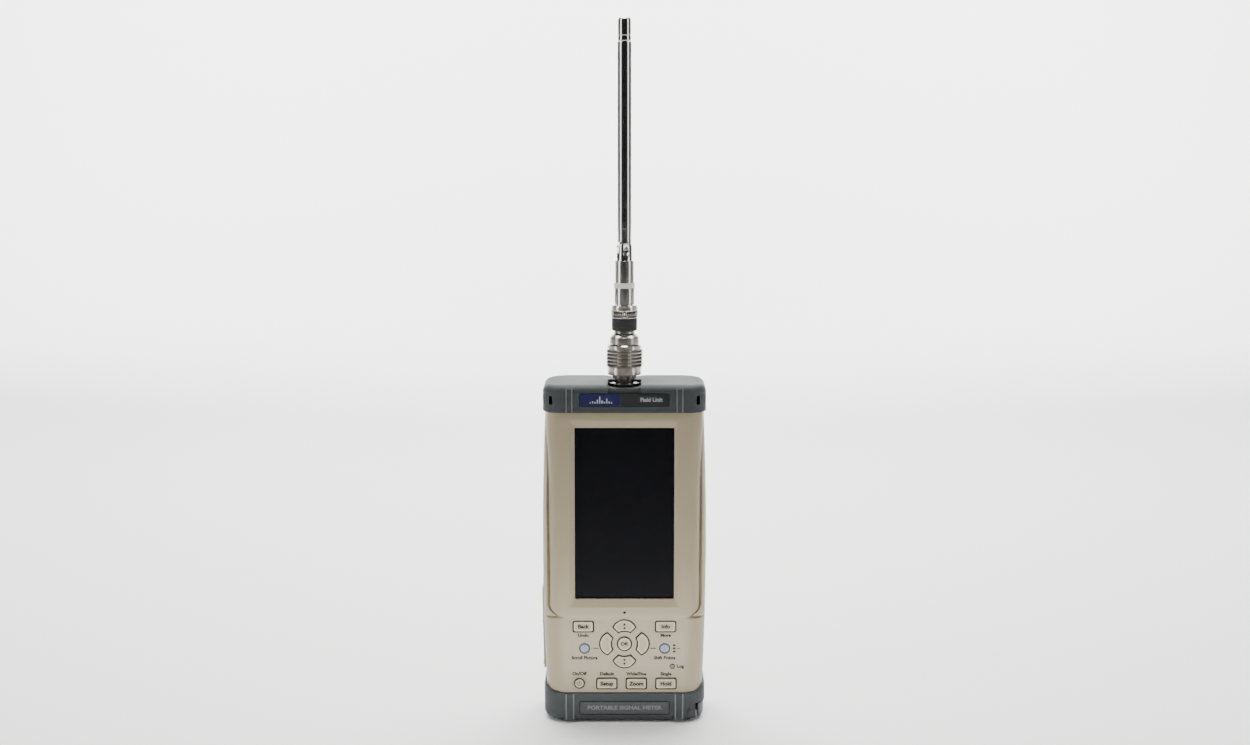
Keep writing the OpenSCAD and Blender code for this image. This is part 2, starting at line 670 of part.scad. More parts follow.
// ---------- left side ----------
module side_door() {
    color(beige) difference() {
        union() {
            along_y(door_y0, hinge[1]) polygon([[-45.85, door_z[0]], [-44.7, door_z[0]],
                [-44.7, door_z[1]], [-46.75, door_z[1]]]);
            post(hinge[0], hinge[1], door_z[0], door_z[1], 1.6);
            post(hinge[0], hinge[1], door_z[0] - 1.7, door_z[1] + 1.7, hinge_r);
            // Stiffening frame that enters the bay
            box(-44.8, door_y0 + 1.4, door_z[0] + 1.6, -44.2, 5, door_z[1] - 1.6);
        }
        box(-44.6, door_y0 + 2.4, door_z[0] + 2.6, -44, 4, door_z[1] - 2.6);
        // Finger groove
        box(-48, door_y0 - 1, 46, -46.3, door_y0 + 1.2, 55);
    }
}

module usb_host_socket() {
    color(nickel) difference() {
        box(port_x, board_y[1], 58.5, port_x + 14, 0.7, 71.5);
        box(port_x - 1, board_y[1] + 0.4, 58.9, port_x + 12, 0.3, 71.1);
    }
    color(white) box(port_x + 1, board_y[1] + 0.5, 59.5, port_x + 12.5, board_y[1] + 2.3, 70.5);
}

module usb_device_socket() {
    color(nickel) difference() {
        box(port_x, board_y[1], 48.2, port_x + 9.2, -1.1, 55.8);
        box(port_x - 1, board_y[1] + 0.4, 48.6, port_x + 8, -1.5, 55.4);
    }
    color(black) box(port_x + 1, board_y[1] + 1.3, 49.6, port_x + 8.5, board_y[1] + 2.2, 54.4);
}

module audio_socket() {
    color(black) difference() {
        box(port_x, board_y[1], 39.5, port_x + 15, 1, 45.5);
        pin_x(-2, 42.5, port_x - 1, port_x + 14, 1.8);
    }
}

module dc_socket() {
    color(black) difference() {
        box(port_x, board_y[1], 28.5, port_x + 12, 4, 37.5);
        pin_x(-0.5, 33, port_x - 1, port_x + 10, 3.2);
    }
    color(nickel) pin_x(-0.5, 33, port_x + 0.8, port_x + 11, 1);
}

// ---------- stylus ----------
module stylus() {
    color(grey) {
        intersection() {
            union() {
                box(41.5, -22, 1.4, 45.2, 1, 10.1);
                box(37.2, -6, 2, 41.6, 1, 10.1);
            }
            along_z(0, 20) polygon(rounded(bumper_half_w - 0.4, 0.8 - bumper_half_d,
                bumper_half_d - 1, 13.6, 12));
            along_y(-40, 40) polygon(concat(arc(5.7 - bumper_half_w, foot_h + 5, 4.6, 180, 270, 6),
                arc(bumper_half_w - 5.7, foot_h + 5, 5, -90, 0, 6), [[45, 20], [-45, 20]]));
        }
        post(stylus_at[0], stylus_at[1], 10, stylus_top - 12, stylus_r);
        post(stylus_at[0], stylus_at[1], stylus_top - 12.1, stylus_top - 3, 1.5);
        translate([stylus_at[0], stylus_at[1], stylus_top - 3 - eps])
            cylinder(h = 3, r1 = 1.5, r2 = 0.5);
    }
}

// ---------- input socket ----------
module rf_jack() {
    color(nickel) difference() {
        union() {
            post(0, 0, 176.2, 184.3, 5);
            post(0, 0, 184.2, 186.2, 8.6);
            post(0, 0, 186.1, 190.5, jack_r);
            post(0, 0, 190.4, 193.1, 5.55);
            post(0, 0, 193, nut_z[0] - 0.1, 6.75);
            post(0, 0, nut_z[0] - 0.2, 204.9, 7.94);
        }
        post(0, 0, 170, 210, 3.4);
        post(0, 0, 196, 210, 4.3);
    }
}

module rf_jack_insulator() {
    color(white) tube(177, 196, 3.4, 0.8);
}

module rf_jack_contact() {
    color([0.80, 0.66, 0.30]) difference() {
        union() {
            post(0, 0, 176.2, 196.1, 0.8);
            post(0, 0, 196, 203.5, 1.5);
        }
        post(0, 0, 198, 204, 0.85);
    }
}

module rf_jack_nut() {
    color(nickel) difference() {
        post_hex(case_z1, case_z1 + 1.9, 8.6);
        post(0, 0, 180, 200, jack_r);
    }
}
module post_hex(z0, z1, r) { translate([0, 0, z0]) cylinder(h = z1 - z0, r = r, $fn = 6); }

module coupling_nut() {
    color(nickel) difference() {
        union() {
            post(0, 0, nut_z[0], 199.7, 9.57);
            ridged(199.6, 210, 10.1, 0.45, nut_ridges);
            post(0, 0, 209.9, nut_z[1], 9.5);
        }
        post(0, 0, 190, 207, 8.02);
        post(0, 0, 200, 220, 6.48);
        // Grooves between the plain ends and the ridges
        for (z = [199.4, 209.8]) difference() {
            post(0, 0, z, z + 0.4, 12);
            post(0, 0, z - 1, z + 1, 9.2);
        }
    }
}

module adapter_body() {
    color(nickel) difference() {
        union() {
            post(0, 0, 197.6, 205.3, 4.1);
            post(0, 0, 205.2, 206.7, 7.6);
            post(0, 0, 206.6, 212.6, 6.4);
            post(0, 0, 212.5, 216.3, 8.25);
            translate([0, 0, 216.3]) cylinder(h = 2.2, r1 = 8.25, r2 = 5.75);
            post(0, 0, 218.4, 219.9, 5.75);
            post(0, 0, 219.8, 231, 4.85);
            pin_x(0, 229.3, -5.5, 5.5, 0.95);
        }
        post(0, 0, 190, 207, 3.3);
        post(0, 0, 200, 240, 1.6);
        post(0, 0, 221, 240, 4.03);
    }
}

module bayonet_collar() {
    color(nickel) difference() {
        union() {
            post(0, 0, collar_z[0], 227.1, 6.2);
            ridged(227, collar_z[1] - 0.5, 7.45, 0.35, 36);
            post(0, 0, 233.7, collar_z[1], 7.2);
        }
        post(0, 0, 210, 231.5, 4.95);
        post(0, 0, 228, 230.6, 5.8);
        post(0, 0, 230.9, 232.6, 5.2);
        post(0, 0, 230, 240, 4.58);
        // Ways in for the two bayonet studs
        rotate([0, 0, 70]) box(-5.8, -1.3, 219, 5.8, 1.3, 229);
    }
}

module bayonet_band() {
    color(black) tube(collar_z[0], 226.9, 7.15, 6.2);
}

module antenna_base() {
    color(nickel) difference() {
        union() {
            post(0, 0, 222, 231.4, 3.95);
            post(0, 0, 231.3, 232.3, 4.9);
            post(0, 0, 232.2, 234.7, 4.5);
            post(0, 0, 234.6, 243.8, 5.75);
        }
        post(0, 0, 220, 231, 3.3);
        post(0, 0, 220, 240, 2.2);
        post(0, 0, 236, 250, 3.6);
    }
}

module antenna_insulator() {
    color(white) difference() {
        union() {
            post(0, 0, 224, 236.1, 2.2);
            post(0, 0, 236, 243.9, 3.6);
            post(0, 0, 243.8, 246.9, 5.8);
            post(0, 0, 246.8, 252, 3.6);
        }
        post(0, 0, 220, 260, 0.8);
    }
}

// ---------- elbow and whip ----------
module elbow_clevis() {
    color(nickel) rotate([0, 0, elbow_turn]) difference() {
        union() {
            post(0, 0, 246.9, 259.2, 5.4);
            intersection() {
                post(0, 0, 259.1, 272, 4.4);
                along_y(-6, 6) polygon(concat([[-6, 258], [6, 258], [6, pivot_z + 0.4]],
                    arc(0, pivot_z, 4.4, 18, 162, 8), [[-6, pivot_z + 0.4]]));
            }
        }
        post(0, 0, 246, 252.1, 3.6);
        box(-10, -2, pivot_z - 4.7, 10, 2, 280);
        pin_y(0, pivot_z, -10, 10, 1.1);
        pin_y(0, pivot_z, -10, -3.3, 1.65);
        pin_y(0, pivot_z, 3.7, 10, 1.55);
    }
    // Centre conductor, through the insulator down to the plug's tip
    color(nickel) post(0, 0, 221.5, 252.2, 0.8);
}

module elbow_screw() {
    color(nickel) rotate([0, 0, elbow_turn]) difference() {
        union() {
            pin_y(0, pivot_z, -4.1, -3.3, 1.6);
            pin_y(0, pivot_z, -3.4, 3.8, 1.1);
            pin_y(0, pivot_z, 3.7, 4.1, 1.5);
        }
        box(-2, -5, pivot_z - 0.25, 2, -3.8, pivot_z + 0.25);
    }
}

module whip_foot() {
    color(nickel) rotate([0, 0, elbow_turn]) difference() {
        union() {
            intersection() {
                union() {
                    pin_y(0, pivot_z, -1.92, 1.92, 3.9);
                    box(-3.3, -1.92, pivot_z, 3.3, 1.92, 270);
                }
                box(-4, -3, 250, 4, 3, 280);
            }
            post(0, 0, 269.8, whip_z[0], 4);
            post(0, 0, whip_z[0] - 0.1, 282, 3.5);
        }
        pin_y(0, pivot_z, -10, 10, 1.17);
        for (z = [271.2, 273, 274.8]) difference() {
            post(0, 0, z, z + 0.7, 6);
            post(0, 0, z - 1, z + 2, 3.6);
        }
    }
}

// One tube of the telescope; 0 is the outermost
module whip_tube(i) {
    r = whip_d / 2 - whip_step * i;
    color(nickel) difference() {
        post(0, 0, i == 0 ? whip_z[0] : 282 + i, whip_z[1], r);
        post(0, 0, 270, whip_z[1] + 5, r - whip_wall);
    }
}
module whip_tube_1() { whip_tube(0); }
module whip_tube_2() { whip_tube(1); }
module whip_tube_3() { whip_tube(2); }
module whip_tube_4() { whip_tube(3); }

module whip_rod() {
    color(nickel) post(0, 0, 286, 388, whip_d / 2 - 4 * whip_step);
}

module whip_tip() {
    color(nickel) difference() {
        rotate_extrude() polygon(concat([[0, whip_z[1] + 0.3], [3.4, whip_z[1] + 0.3],
            [3.7, whip_z[1] + 0.6], [3.7, 391.4]],
            [for (a = [15:15:75]) [1.9 + 1.8 * cos(a), 391.4 + 1.8 * sin(a)]], [[0, 393.2]]));
        post(0, 0, 370, 388, whip_d / 2 - 4 * whip_step);
    }
}

front_case();
rear_case();
top_bumper();
bottom_bumper();
top_label();
bottom_label();
screen_gasket();
touch_panel();
lcd_module();
exit_key();
status_key();
up_key();
down_key();
left_key();
right_key();
enter_key();
power_key();
presets_key();
view_key();
run_key();
keypad_mat();
keypad_board();
main_board();
rf_module();
rf_lead();
battery_pack();
battery_cover();
battery_cover_screws();
case_screws();
tilt_stand();
navigate_lamp();
marker_lamp();
disk_lamp();
side_door();
usb_host_socket();
usb_device_socket();
audio_socket();
dc_socket();
stylus();
base_feet();
rf_jack();
rf_jack_insulator();
rf_jack_contact();
rf_jack_nut();
coupling_nut();
adapter_body();
bayonet_collar();
bayonet_band();
antenna_base();
antenna_insulator();
elbow_clevis();
elbow_screw();
whip_foot();
whip_tube_1();
whip_tube_2();
whip_tube_3();
whip_tube_4();
whip_rod();
whip_tip();
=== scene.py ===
import math

import bmesh
import bpy
from mathutils import Matrix, Vector


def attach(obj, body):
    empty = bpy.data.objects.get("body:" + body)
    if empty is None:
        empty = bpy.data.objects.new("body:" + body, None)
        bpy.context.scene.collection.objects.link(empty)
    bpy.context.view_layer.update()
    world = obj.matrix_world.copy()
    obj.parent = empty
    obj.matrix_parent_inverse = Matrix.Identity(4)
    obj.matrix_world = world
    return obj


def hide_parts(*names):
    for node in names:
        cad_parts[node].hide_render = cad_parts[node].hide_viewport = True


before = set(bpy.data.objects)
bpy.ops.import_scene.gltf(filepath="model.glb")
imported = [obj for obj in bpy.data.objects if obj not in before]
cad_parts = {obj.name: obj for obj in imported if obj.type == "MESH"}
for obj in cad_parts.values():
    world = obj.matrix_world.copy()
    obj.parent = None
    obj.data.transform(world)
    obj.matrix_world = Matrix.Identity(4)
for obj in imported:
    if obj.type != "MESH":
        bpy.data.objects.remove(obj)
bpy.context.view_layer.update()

# ---------------------------------------------------------------------------
# Studio. A pale sweep stands under and behind the instrument, two tall soft
# boxes light it from both sides, and a low one throws light up from the table.
# ---------------------------------------------------------------------------
scene = bpy.context.scene
RISE = math.radians(7.5)
AIM = Vector((0.0003, 0.0, 0.1961))

camera_data = bpy.data.cameras.new("camera")
camera_data.lens = 53.7
camera_data.sensor_width = 36.0
camera_data.clip_start = 0.05
camera = bpy.data.objects.new("camera", camera_data)
camera.location = AIM + 1.05 * Vector((0, -math.cos(RISE), math.sin(RISE)))
camera.rotation_euler = (math.radians(90) - RISE, 0, 0)
scene.collection.objects.link(camera)
scene.camera = camera


def softbox(name, place, aim, wide, tall, watts, spread=180):
    data = bpy.data.lights.new(name, "AREA")
    data.shape, data.size, data.size_y, data.energy = "RECTANGLE", wide, tall, watts
    data.spread = math.radians(spread)
    lamp = bpy.data.objects.new(name, data)
    lamp.location = place
    lamp.rotation_euler = (Vector(aim) - Vector(place)).to_track_quat("-Z", "Y").to_euler()
    lamp.visible_camera = False
    scene.collection.objects.link(lamp)


softbox("left_box", (-0.95, -0.45, 0.5), (0, 0, 0.17), 0.3, 1.2, 1.15, 80)
softbox("right_box", (0.95, -0.45, 0.5), (0, 0, 0.17), 0.3, 1.2, 0.8, 80)
softbox("low_box", (0, -0.115, 0.012), (0, 0, 0.075), 0.16, 0.018, 0.045, 95)
softbox("top_box", (0, -0.4, 1.25), (0, -0.02, 0.12), 0.5, 0.3, 0.6, 50)
softbox("floor_box", (0, 0.9, 1.9), (0, 0.7, 0), 2.2, 1.4, 44, 85)
softbox("wall_box_left", (-1.3, 1.4, 1.5), (-0.6, 3.4, 0.9), 1.0, 0.6, 120, 150)
softbox("wall_box_right", (1.3, 1.4, 1.5), (0.6, 3.4, 0.9), 1.0, 0.6, 120, 150)

room = bpy.data.worlds.new("room")
room.use_nodes = True
nt = room.node_tree
nt.nodes.clear()
glow = nt.nodes.new("ShaderNodeBackground")
glow.inputs["Strength"].default_value = 0.12
way = nt.nodes.new("ShaderNodeTexCoord")
split = nt.nodes.new("ShaderNodeSeparateXYZ")
fade = nt.nodes.new("ShaderNodeMapRange")
fade.interpolation_type = "SMOOTHSTEP"
fade.inputs["From Min"].default_value = -0.55
fade.inputs["From Max"].default_value = -0.90
fade.inputs["To Min"].default_value = 1.0
fade.inputs["To Max"].default_value = 0.15
nt.links.new(way.outputs["Generated"], split.inputs[0])
nt.links.new(split.outputs["Y"], fade.inputs["Value"])
nt.links.new(fade.outputs[0], glow.inputs["Color"])
out = nt.nodes.new("ShaderNodeOutputWorld")
nt.links.new(glow.outputs[0], out.inputs[0])
scene.world = room

floor_mesh = bmesh.new()
lead = floor_mesh.edges.new([floor_mesh.verts.new((x, -3.0, 0.0)) for x in (-5.0, 5.0)])
for go in ((0, 5.0, 0), None, (0, 0, 3.5)):
    if go:
        made = bmesh.ops.extrude_edge_only(floor_mesh, edges=[lead])["geom"]
        bmesh.ops.translate(floor_mesh, vec=go, verts=[g for g in made if isinstance(g, bmesh.types.BMVert)])
    else:
        made = bmesh.ops.spin(floor_mesh, geom=[lead] + list(lead.verts), cent=(0, 2.0, 1.4), axis=(1, 0, 0),
                              dvec=(0, 0, 0), angle=math.radians(90), steps=24)["geom_last"]
    lead = [g for g in made if isinstance(g, bmesh.types.BMEdge)][0]
bmesh.ops.recalc_face_normals(floor_mesh, faces=floor_mesh.faces)
floor_data = bpy.data.meshes.new("floor")
floor_mesh.to_mesh(floor_data)
floor_mesh.free()
floor_data.polygons.foreach_set("use_smooth", [True] * len(floor_data.polygons))
floor = bpy.data.objects.new("floor", floor_data)
scene.collection.objects.link(floor)
floor_paint = bpy.data.materials.new("floor_paint")
floor_paint.use_nodes = True
floor_paint.node_tree.nodes["Principled BSDF"].inputs["Base Color"].default_value = (0.93, 0.93, 0.925, 1)
floor_paint.node_tree.nodes["Principled BSDF"].inputs["Roughness"].default_value = 0.7
floor_data.materials.append(floor_paint)


# ---------------------------------------------------------------------------
# Front shell. Moulded in warm beige plastic with a fine spark texture; the
# display's surround stands slightly proud, and a V groove runs down both of
# its sides. The keys, lamps and display come through openings in it.
# ---------------------------------------------------------------------------
CASE_FRONT, CASE_SPLIT, CORNER = -22.5, -9.0, 12.0


def smooth_step(t):
    t = min(1.0, max(0.0, t))
    return t * t * (3 - 2 * t)


def flank(z):
    return 46.0 - 2.4 * ((z - 100) / 90) ** 2


def corner_y(x, w):
    return -10.5 - math.sqrt(max(0.0, CORNER ** 2 - max(0.0, x - (w - CORNER)) ** 2))


def shell_section(z):
    """Right half of the front shell's section at height z, from the middle to the joint line."""
    w = flank(z)
    flats = [0, 8, 16, 22, 27, 30.5, 33.5]
    plain = [(x, CASE_FRONT) for x in flats]
    for i in range(14):
        a = math.radians(-90 + 90 * (i + 0.4) / 13.4)
        plain.append((w - CORNER + CORNER * math.cos(a), -10.5 + CORNER * math.sin(a)))
    plain.append((w - 0.2, CASE_SPLIT))
    if z < 58.5:
        return plain
    edge = 42.0 + 0.25 * smooth_step((z - 80) / 60) + 1.1 * smooth_step((z - 138) / 36)
    drop = min(1.0, max(0.0, (67.5 - z) / 7.0))
    edge -= 6.5 * (1 - math.sqrt(1 - drop * drop))
    deep = 0.4 + 2.4 * smooth_step((z - 60) / 8) * (1 - smooth_step((z - 120) / 52))
    floor_y = corner_y(edge, w) + deep
    stop = math.asin(max(-0.97, min(0.0, (floor_y + 16.9) / 6.0)))
    framed = [(x, CASE_FRONT - 0.5) for x in flats[:-2]]
    framed += [(edge - 9.0, CASE_FRONT - 0.5), (edge - 6.6, CASE_FRONT - 0.5)]
    for i in range(7):
        a = -math.pi / 2 + (stop + math.pi / 2) * (i + 0.3) / 6.3
        framed.append((edge - 6 + 6 * math.cos(a), -16.9 + 6 * math.sin(a) - 0.1))
    x = framed[-1][0]
    lip = min(x + 0.5 + 0.34 * deep, w - 0.22)
    framed.append((x + 0.12, max(floor_y, framed[-1][1] + 0.05)))
    start = math.acos(min(1.0, (lip - w + CORNER) / CORNER))
    for i in range(6):
        a = -start * (1 - i / 5)
        framed.append((w - CORNER + CORNER * math.cos(a), -10.5 + CORNER * math.sin(a)))
    framed.append((w - 0.2, CASE_SPLIT))
    k = smooth_step((z - 59.2) / 2.6)
    return [(p[0] + (q[0] - p[0]) * k, p[1] + (q[1] - p[1]) * k) for p, q in zip(plain, framed)]


def temporary(bm):
    mesh = bpy.data.meshes.new("temporary")
    bm.to_mesh(mesh)
    bm.free()
    obj = bpy.data.objects.new("temporary", mesh)
    scene.collection.objects.link(obj)
    return obj


def carve(bm, *tools, how="DIFFERENCE"):
    """Cuts the tools out of a closed mesh, or adds them to it, and returns the new mesh."""
    made = [temporary(bm)] + [temporary(t) for t in tools]
    for tool in made[1:]:
        cut = made[0].modifiers.new("cut", "BOOLEAN")
        cut.operation, cut.solver, cut.object = how, "EXACT", tool
    graph = bpy.context.evaluated_depsgraph_get()
    graph.update()
    result = bmesh.new()
    result.from_mesh(made[0].evaluated_get(graph).to_mesh())
    for obj in made:
        mesh = obj.data
        bpy.data.objects.remove(obj)
        bpy.data.meshes.remove(mesh)
    bmesh.ops.remove_doubles(result, verts=result.verts, dist=0.002)
    bmesh.ops.dissolve_degenerate(result, edges=result.edges, dist=0.002)
    return result


def grown(points, by):
    """An outline moved outwards by a distance, corner by corner."""
    result, n = [], len(points)
    for i in range(n):
        (ax, az), (bx, bz), (cx, cz) = points[i - 1], points[i], points[(i + 1) % n]
        u, v = Vector((bz - az, ax - bx)).normalized(), Vector((cz - bz, bx - cx)).normalized()
        m = (u + v) / max(0.5, 1 + u.dot(v))
        result.append((bx + m.x * by, bz + m.y * by))
    return result


def stack(bm, points, levels, place=None):
    """Extrudes an outline through levels of (height, growth); place turns (a, b, height) into a point."""
    place = place or (lambda a, b, h: Vector((a, h, b)))
    ring = [place(a, b, levels[0][0]) for a, b in grown(points, levels[0][1])]
    face = bm.faces.new([bm.verts.new(p) for p in ring])
    for step, (height, growth) in enumerate(levels[1:]):
        target = [place(a, b, height) for a, b in grown(points, growth)]
        result = bmesh.ops.extrude_face_region(bm, geom=[face])["geom"]
        if step:
            bm.faces.remove(face)
        face = [g for g in result if isinstance(g, bmesh.types.BMFace)][0]
        for v in face.verts:
            v.co = target[min(range(len(ring)), key=lambda i: (ring[i] - v.co).length_squared)]
        ring = target
    return face


def rounded(w, h, r, x=0.0, z=0.0, n=5):
    """Rounded rectangle as an outline, anticlockwise."""
    points = []
    for sx, sz, a0 in ((1, -1, -90), (1, 1, 0), (-1, 1, 90), (-1, -1, 180)):
        for i in range(n + 1):
            a = math.radians(a0 + 90 * i / n)
            points.append((x + sx * (w / 2 - r) + r * math.cos(a), z + sz * (h / 2 - r) + r * math.sin(a)))
    return points


def disc(r, x=0.0, z=0.0, n=40):
    return [(x + r * math.cos(2 * math.pi * i / n), z + r * math.sin(2 * math.pi * i / n)) for i in range(n)]


def petal(r, apex, hollow, turn, grow=0.0):
    """One direction key's outline: a round back, two straight sides and a hollow front."""
    r, apex, hollow = r + grow, apex - grow * 1.414, hollow - grow
    points = []
    # Straight sides at 45 degrees meet the outer circle, centred 7 out, and the inner one
    t = (7 - apex + math.sqrt(max(0.0, 2 * r * r - (7 - apex) ** 2))) / 2
    a0 = math.atan2(apex + t - 7, t)
    for i in range(17):
        a = a0 + (math.pi - 2 * a0) * i / 16
        points.append((r * math.cos(a), 7 + r * math.sin(a)))
    q = (-apex + math.sqrt(2 * hollow * hollow - apex * apex)) / 2
    b0 = math.atan2(apex + q, q)
    for i in range(9):
        b = (math.pi - b0) + (2 * b0 - math.pi) * i / 8
        points.append((hollow * math.cos(b), hollow * math.sin(b)))
    c, s = math.cos(turn), math.sin(turn)
    return [(x * c - z * s, 45.4 + x * s + z * c) for x, z in points]


HOLE_LEVELS = [(-25, 0.32), (-22.5, 0.32), (-22.42, 0.12), (-22.2, 0), (-17, 0)]
PAD_KEYS = {"exit_key": (-23.1, 55.4), "status_key": (23.1, 55.4), "presets_key": (-9.9, 22.4),
            "view_key": (6.7, 22.4), "run_key": (23.35, 22.4)}
RING_KEYS = {"up_key": 0, "left_key": 90, "down_key": 180, "right_key": 270}
POWER, CENTRE = (-25.4, 22.4), (0.0, 45.4)
NAVIGATE, MARKER, DISK = (-22.4, 42.7), (22.6, 42.7), (27.0, 32.3)

heights = [15.6, 16.6, 17.6, 19, 22, 26, 30, 34, 38, 42, 46, 50, 54, 56.5, 58.4]
heights += [59.2 + 0.5 * i for i in range(18)] + [69, 70.5, 72.5, 75, 78]
heights += [82 + 4 * i for i in range(22)] + [169, 171.5, 173.5, 175, 176, 176.55]
columns = len(shell_section(20)) - 1
shell = bmesh.new()
for skin in (0, 1):
    made = bmesh.ops.create_grid(shell, x_segments=2 * columns, y_segments=len(heights) - 1, size=0.5)["verts"]
    for v in made:
        i = round((v.co.x + 0.5) * 2 * columns) - columns
        z = heights[round((v.co.y + 0.5) * (len(heights) - 1))]
        x, y = shell_section(z)[abs(i)]
        if skin:
            # The inner skin is plain: a flat wall with a round corner, two millimetres in
            a = math.radians(90 * min(1.0, max(0.0, (abs(i) - 6) / (columns - 8))))
            x = min(x, 33.5) if a == 0 else flank(z) - 12.2 + 10 * math.sin(a)
            y = CASE_SPLIT if abs(i) == columns else -10.6 - 10 * math.cos(a)
        v.co = Vector((math.copysign(x, i) if i else 0.0, y, z))
rims = [e for e in shell.edges if len(e.link_faces) == 1]
bmesh.ops.bridge_loops(shell, edges=rims)
bmesh.ops.recalc_face_normals(shell, faces=shell.faces)

openings = bmesh.new()
for at in PAD_KEYS.values():
    stack(openings, rounded(11.6, 6.4, 0.9, *at), HOLE_LEVELS)
for turn in RING_KEYS.values():
    stack(openings, petal(6.5, 3.6, 7.7, math.radians(turn), 0.5), HOLE_LEVELS)
stack(openings, disc(4.05, *CENTRE), HOLE_LEVELS)
stack(openings, disc(2.9, *POWER), [(-25, 1.9), (-22.5, 1.9), (-22.3, 1.55), (-22.12, 0.3), (-22, 0), (-17, 0)])
for at in (NAVIGATE, MARKER):
    stack(openings, disc(2.65, *at), [(-25, 0.5), (-22.5, 0.5), (-22.4, 0.3), (-22.3, 0), (-17, 0)])
stack(openings, disc(1.42, *DISK, n=24), [(-25, 0.2), (-22.5, 0.2), (-22.35, 0), (-17, 0)])
PINHOLE = (0.0, 63.5)
stack(openings, disc(0.6, *PINHOLE, n=16), [(-25, 0.15), (-23, 0.15), (-22.9, 0), (-21.6, 0)])
window = bmesh.new()
frame_points = [(-27.7, 71), (27.7, 71), (27.7, 168), (-27.7, 168)]
stack(window, frame_points, [(-25, 2.0), (-23.02, 2.0), (-22.9, 1.8), (-21.9, 0.06), (-21.7, 0), (-17, 0)])
for v in window.verts:
    if v.co.z < 71 and v.co.y > -23.2:
        v.co.z = 71 - (71 - v.co.z) * 2.3
    elif v.co.z > 168 and v.co.y > -23.2:
        v.co.z = 168 + (v.co.z - 168) * 2.0
    elif v.co.z < 71:
        v.co.z = 71 - 4.6
    elif v.co.z > 168:
        v.co.z = 168 + 4.0
for tool in (openings, window):
    bmesh.ops.recalc_face_normals(tool, faces=tool.faces)
shell = carve(shell, openings, window)


def grain_group():
    """Colour, roughness and height of a moulded or painted skin: fine grain over slow shade changes."""
    group = bpy.data.node_groups.new("moulded_grain", "ShaderNodeTree")
    face = group.interface
    face.new_socket("Color", in_out="INPUT", socket_type="NodeSocketColor")
    for name, value in (("Shade", 0.06), ("Roughness", 0.5), ("Grain", 1800.0), ("Wear", 0.1)):
        face.new_socket(name, in_out="INPUT", socket_type="NodeSocketFloat").default_value = value
    face.new_socket("Color", in_out="OUTPUT", socket_type="NodeSocketColor")
    face.new_socket("Roughness", in_out="OUTPUT", socket_type="NodeSocketFloat")
    face.new_socket("Height", in_out="OUTPUT", socket_type="NodeSocketFloat")
    new, link = group.nodes.new, group.links.new
    inputs, outputs = new("NodeGroupInput"), new("NodeGroupOutput")
    where = new("ShaderNodeTexCoord")
    fine, slow = new("ShaderNodeTexNoise"), new("ShaderNodeTexNoise")
    fine.inputs["Detail"].default_value = 3.0
    slow.inputs["Scale"].default_value = 45.0
    slow.inputs["Detail"].default_value = 4.0
    link(where.outputs["Object"], fine.inputs["Vector"])
    link(where.outputs["Object"], slow.inputs["Vector"])
    link(inputs.outputs["Grain"], fine.inputs["Scale"])
    both = new("ShaderNodeMath")
    both.operation = "ADD"
    link(fine.outputs["Fac"], both.inputs[0])
    link(slow.outputs["Fac"], both.inputs[1])
    centred = new("ShaderNodeMath")
    centred.operation = "SUBTRACT"
    link(both.outputs[0], centred.inputs[0])
    centred.inputs[1].default_value = 1.0
    scaled = new("ShaderNodeMath")
    scaled.operation = "MULTIPLY_ADD"
    link(centred.outputs[0], scaled.inputs[0])
    link(inputs.outputs["Shade"], scaled.inputs[1])
    scaled.inputs[2].default_value = 1.0
    tint = new("ShaderNodeVectorMath")
    tint.operation = "SCALE"
    link(inputs.outputs["Color"], tint.inputs[0])
    link(scaled.outputs[0], tint.inputs["Scale"])
    link(tint.outputs[0], outputs.inputs["Color"])
    rough = new("ShaderNodeMath")
    rough.operation = "MULTIPLY_ADD"
    link(centred.outputs[0], rough.inputs[0])
    link(inputs.outputs["Wear"], rough.inputs[1])
    link(inputs.outputs["Roughness"], rough.inputs[2])
    link(rough.outputs[0], outputs.inputs["Roughness"])
    link(fine.outputs["Fac"], outputs.inputs["Height"])
    return group


MOULDED = grain_group()


def srgb(r, g, b):
    return tuple((c / 255 / 12.92 if c <= 10 else ((c / 255 + 0.055) / 1.055) ** 2.4) for c in (r, g, b)) + (1.0,)


def moulded(name, colour, roughness, shade=0.06, grain=1800.0, depth=0.02, wear=0.15, **sockets):
    """A skin with the shared grain; depth is the relief in millimetres."""
    material = bpy.data.materials.new(name)
    material.use_nodes = True
    tree = material.node_tree
    shader = tree.nodes["Principled BSDF"]
    skin = tree.nodes.new("ShaderNodeGroup")
    skin.node_tree = MOULDED
    for socket, value in (("Color", colour), ("Shade", shade), ("Roughness", roughness), ("Grain", grain),
                          ("Wear", wear)):
        skin.inputs[socket].default_value = value
    bump = tree.nodes.new("ShaderNodeBump")
    bump.inputs["Strength"].default_value = 1.0
    bump.inputs["Distance"].default_value = depth * 0.001
    tree.links.new(skin.outputs["Color"], shader.inputs["Base Color"])
    tree.links.new(skin.outputs["Roughness"], shader.inputs["Roughness"])
    tree.links.new(skin.outputs["Height"], bump.inputs["Height"])
    tree.links.new(bump.outputs["Normal"], shader.inputs["Normal"])
    for socket, value in sockets.items():
        shader.inputs[socket.replace("_", " ")].default_value = value
    return material


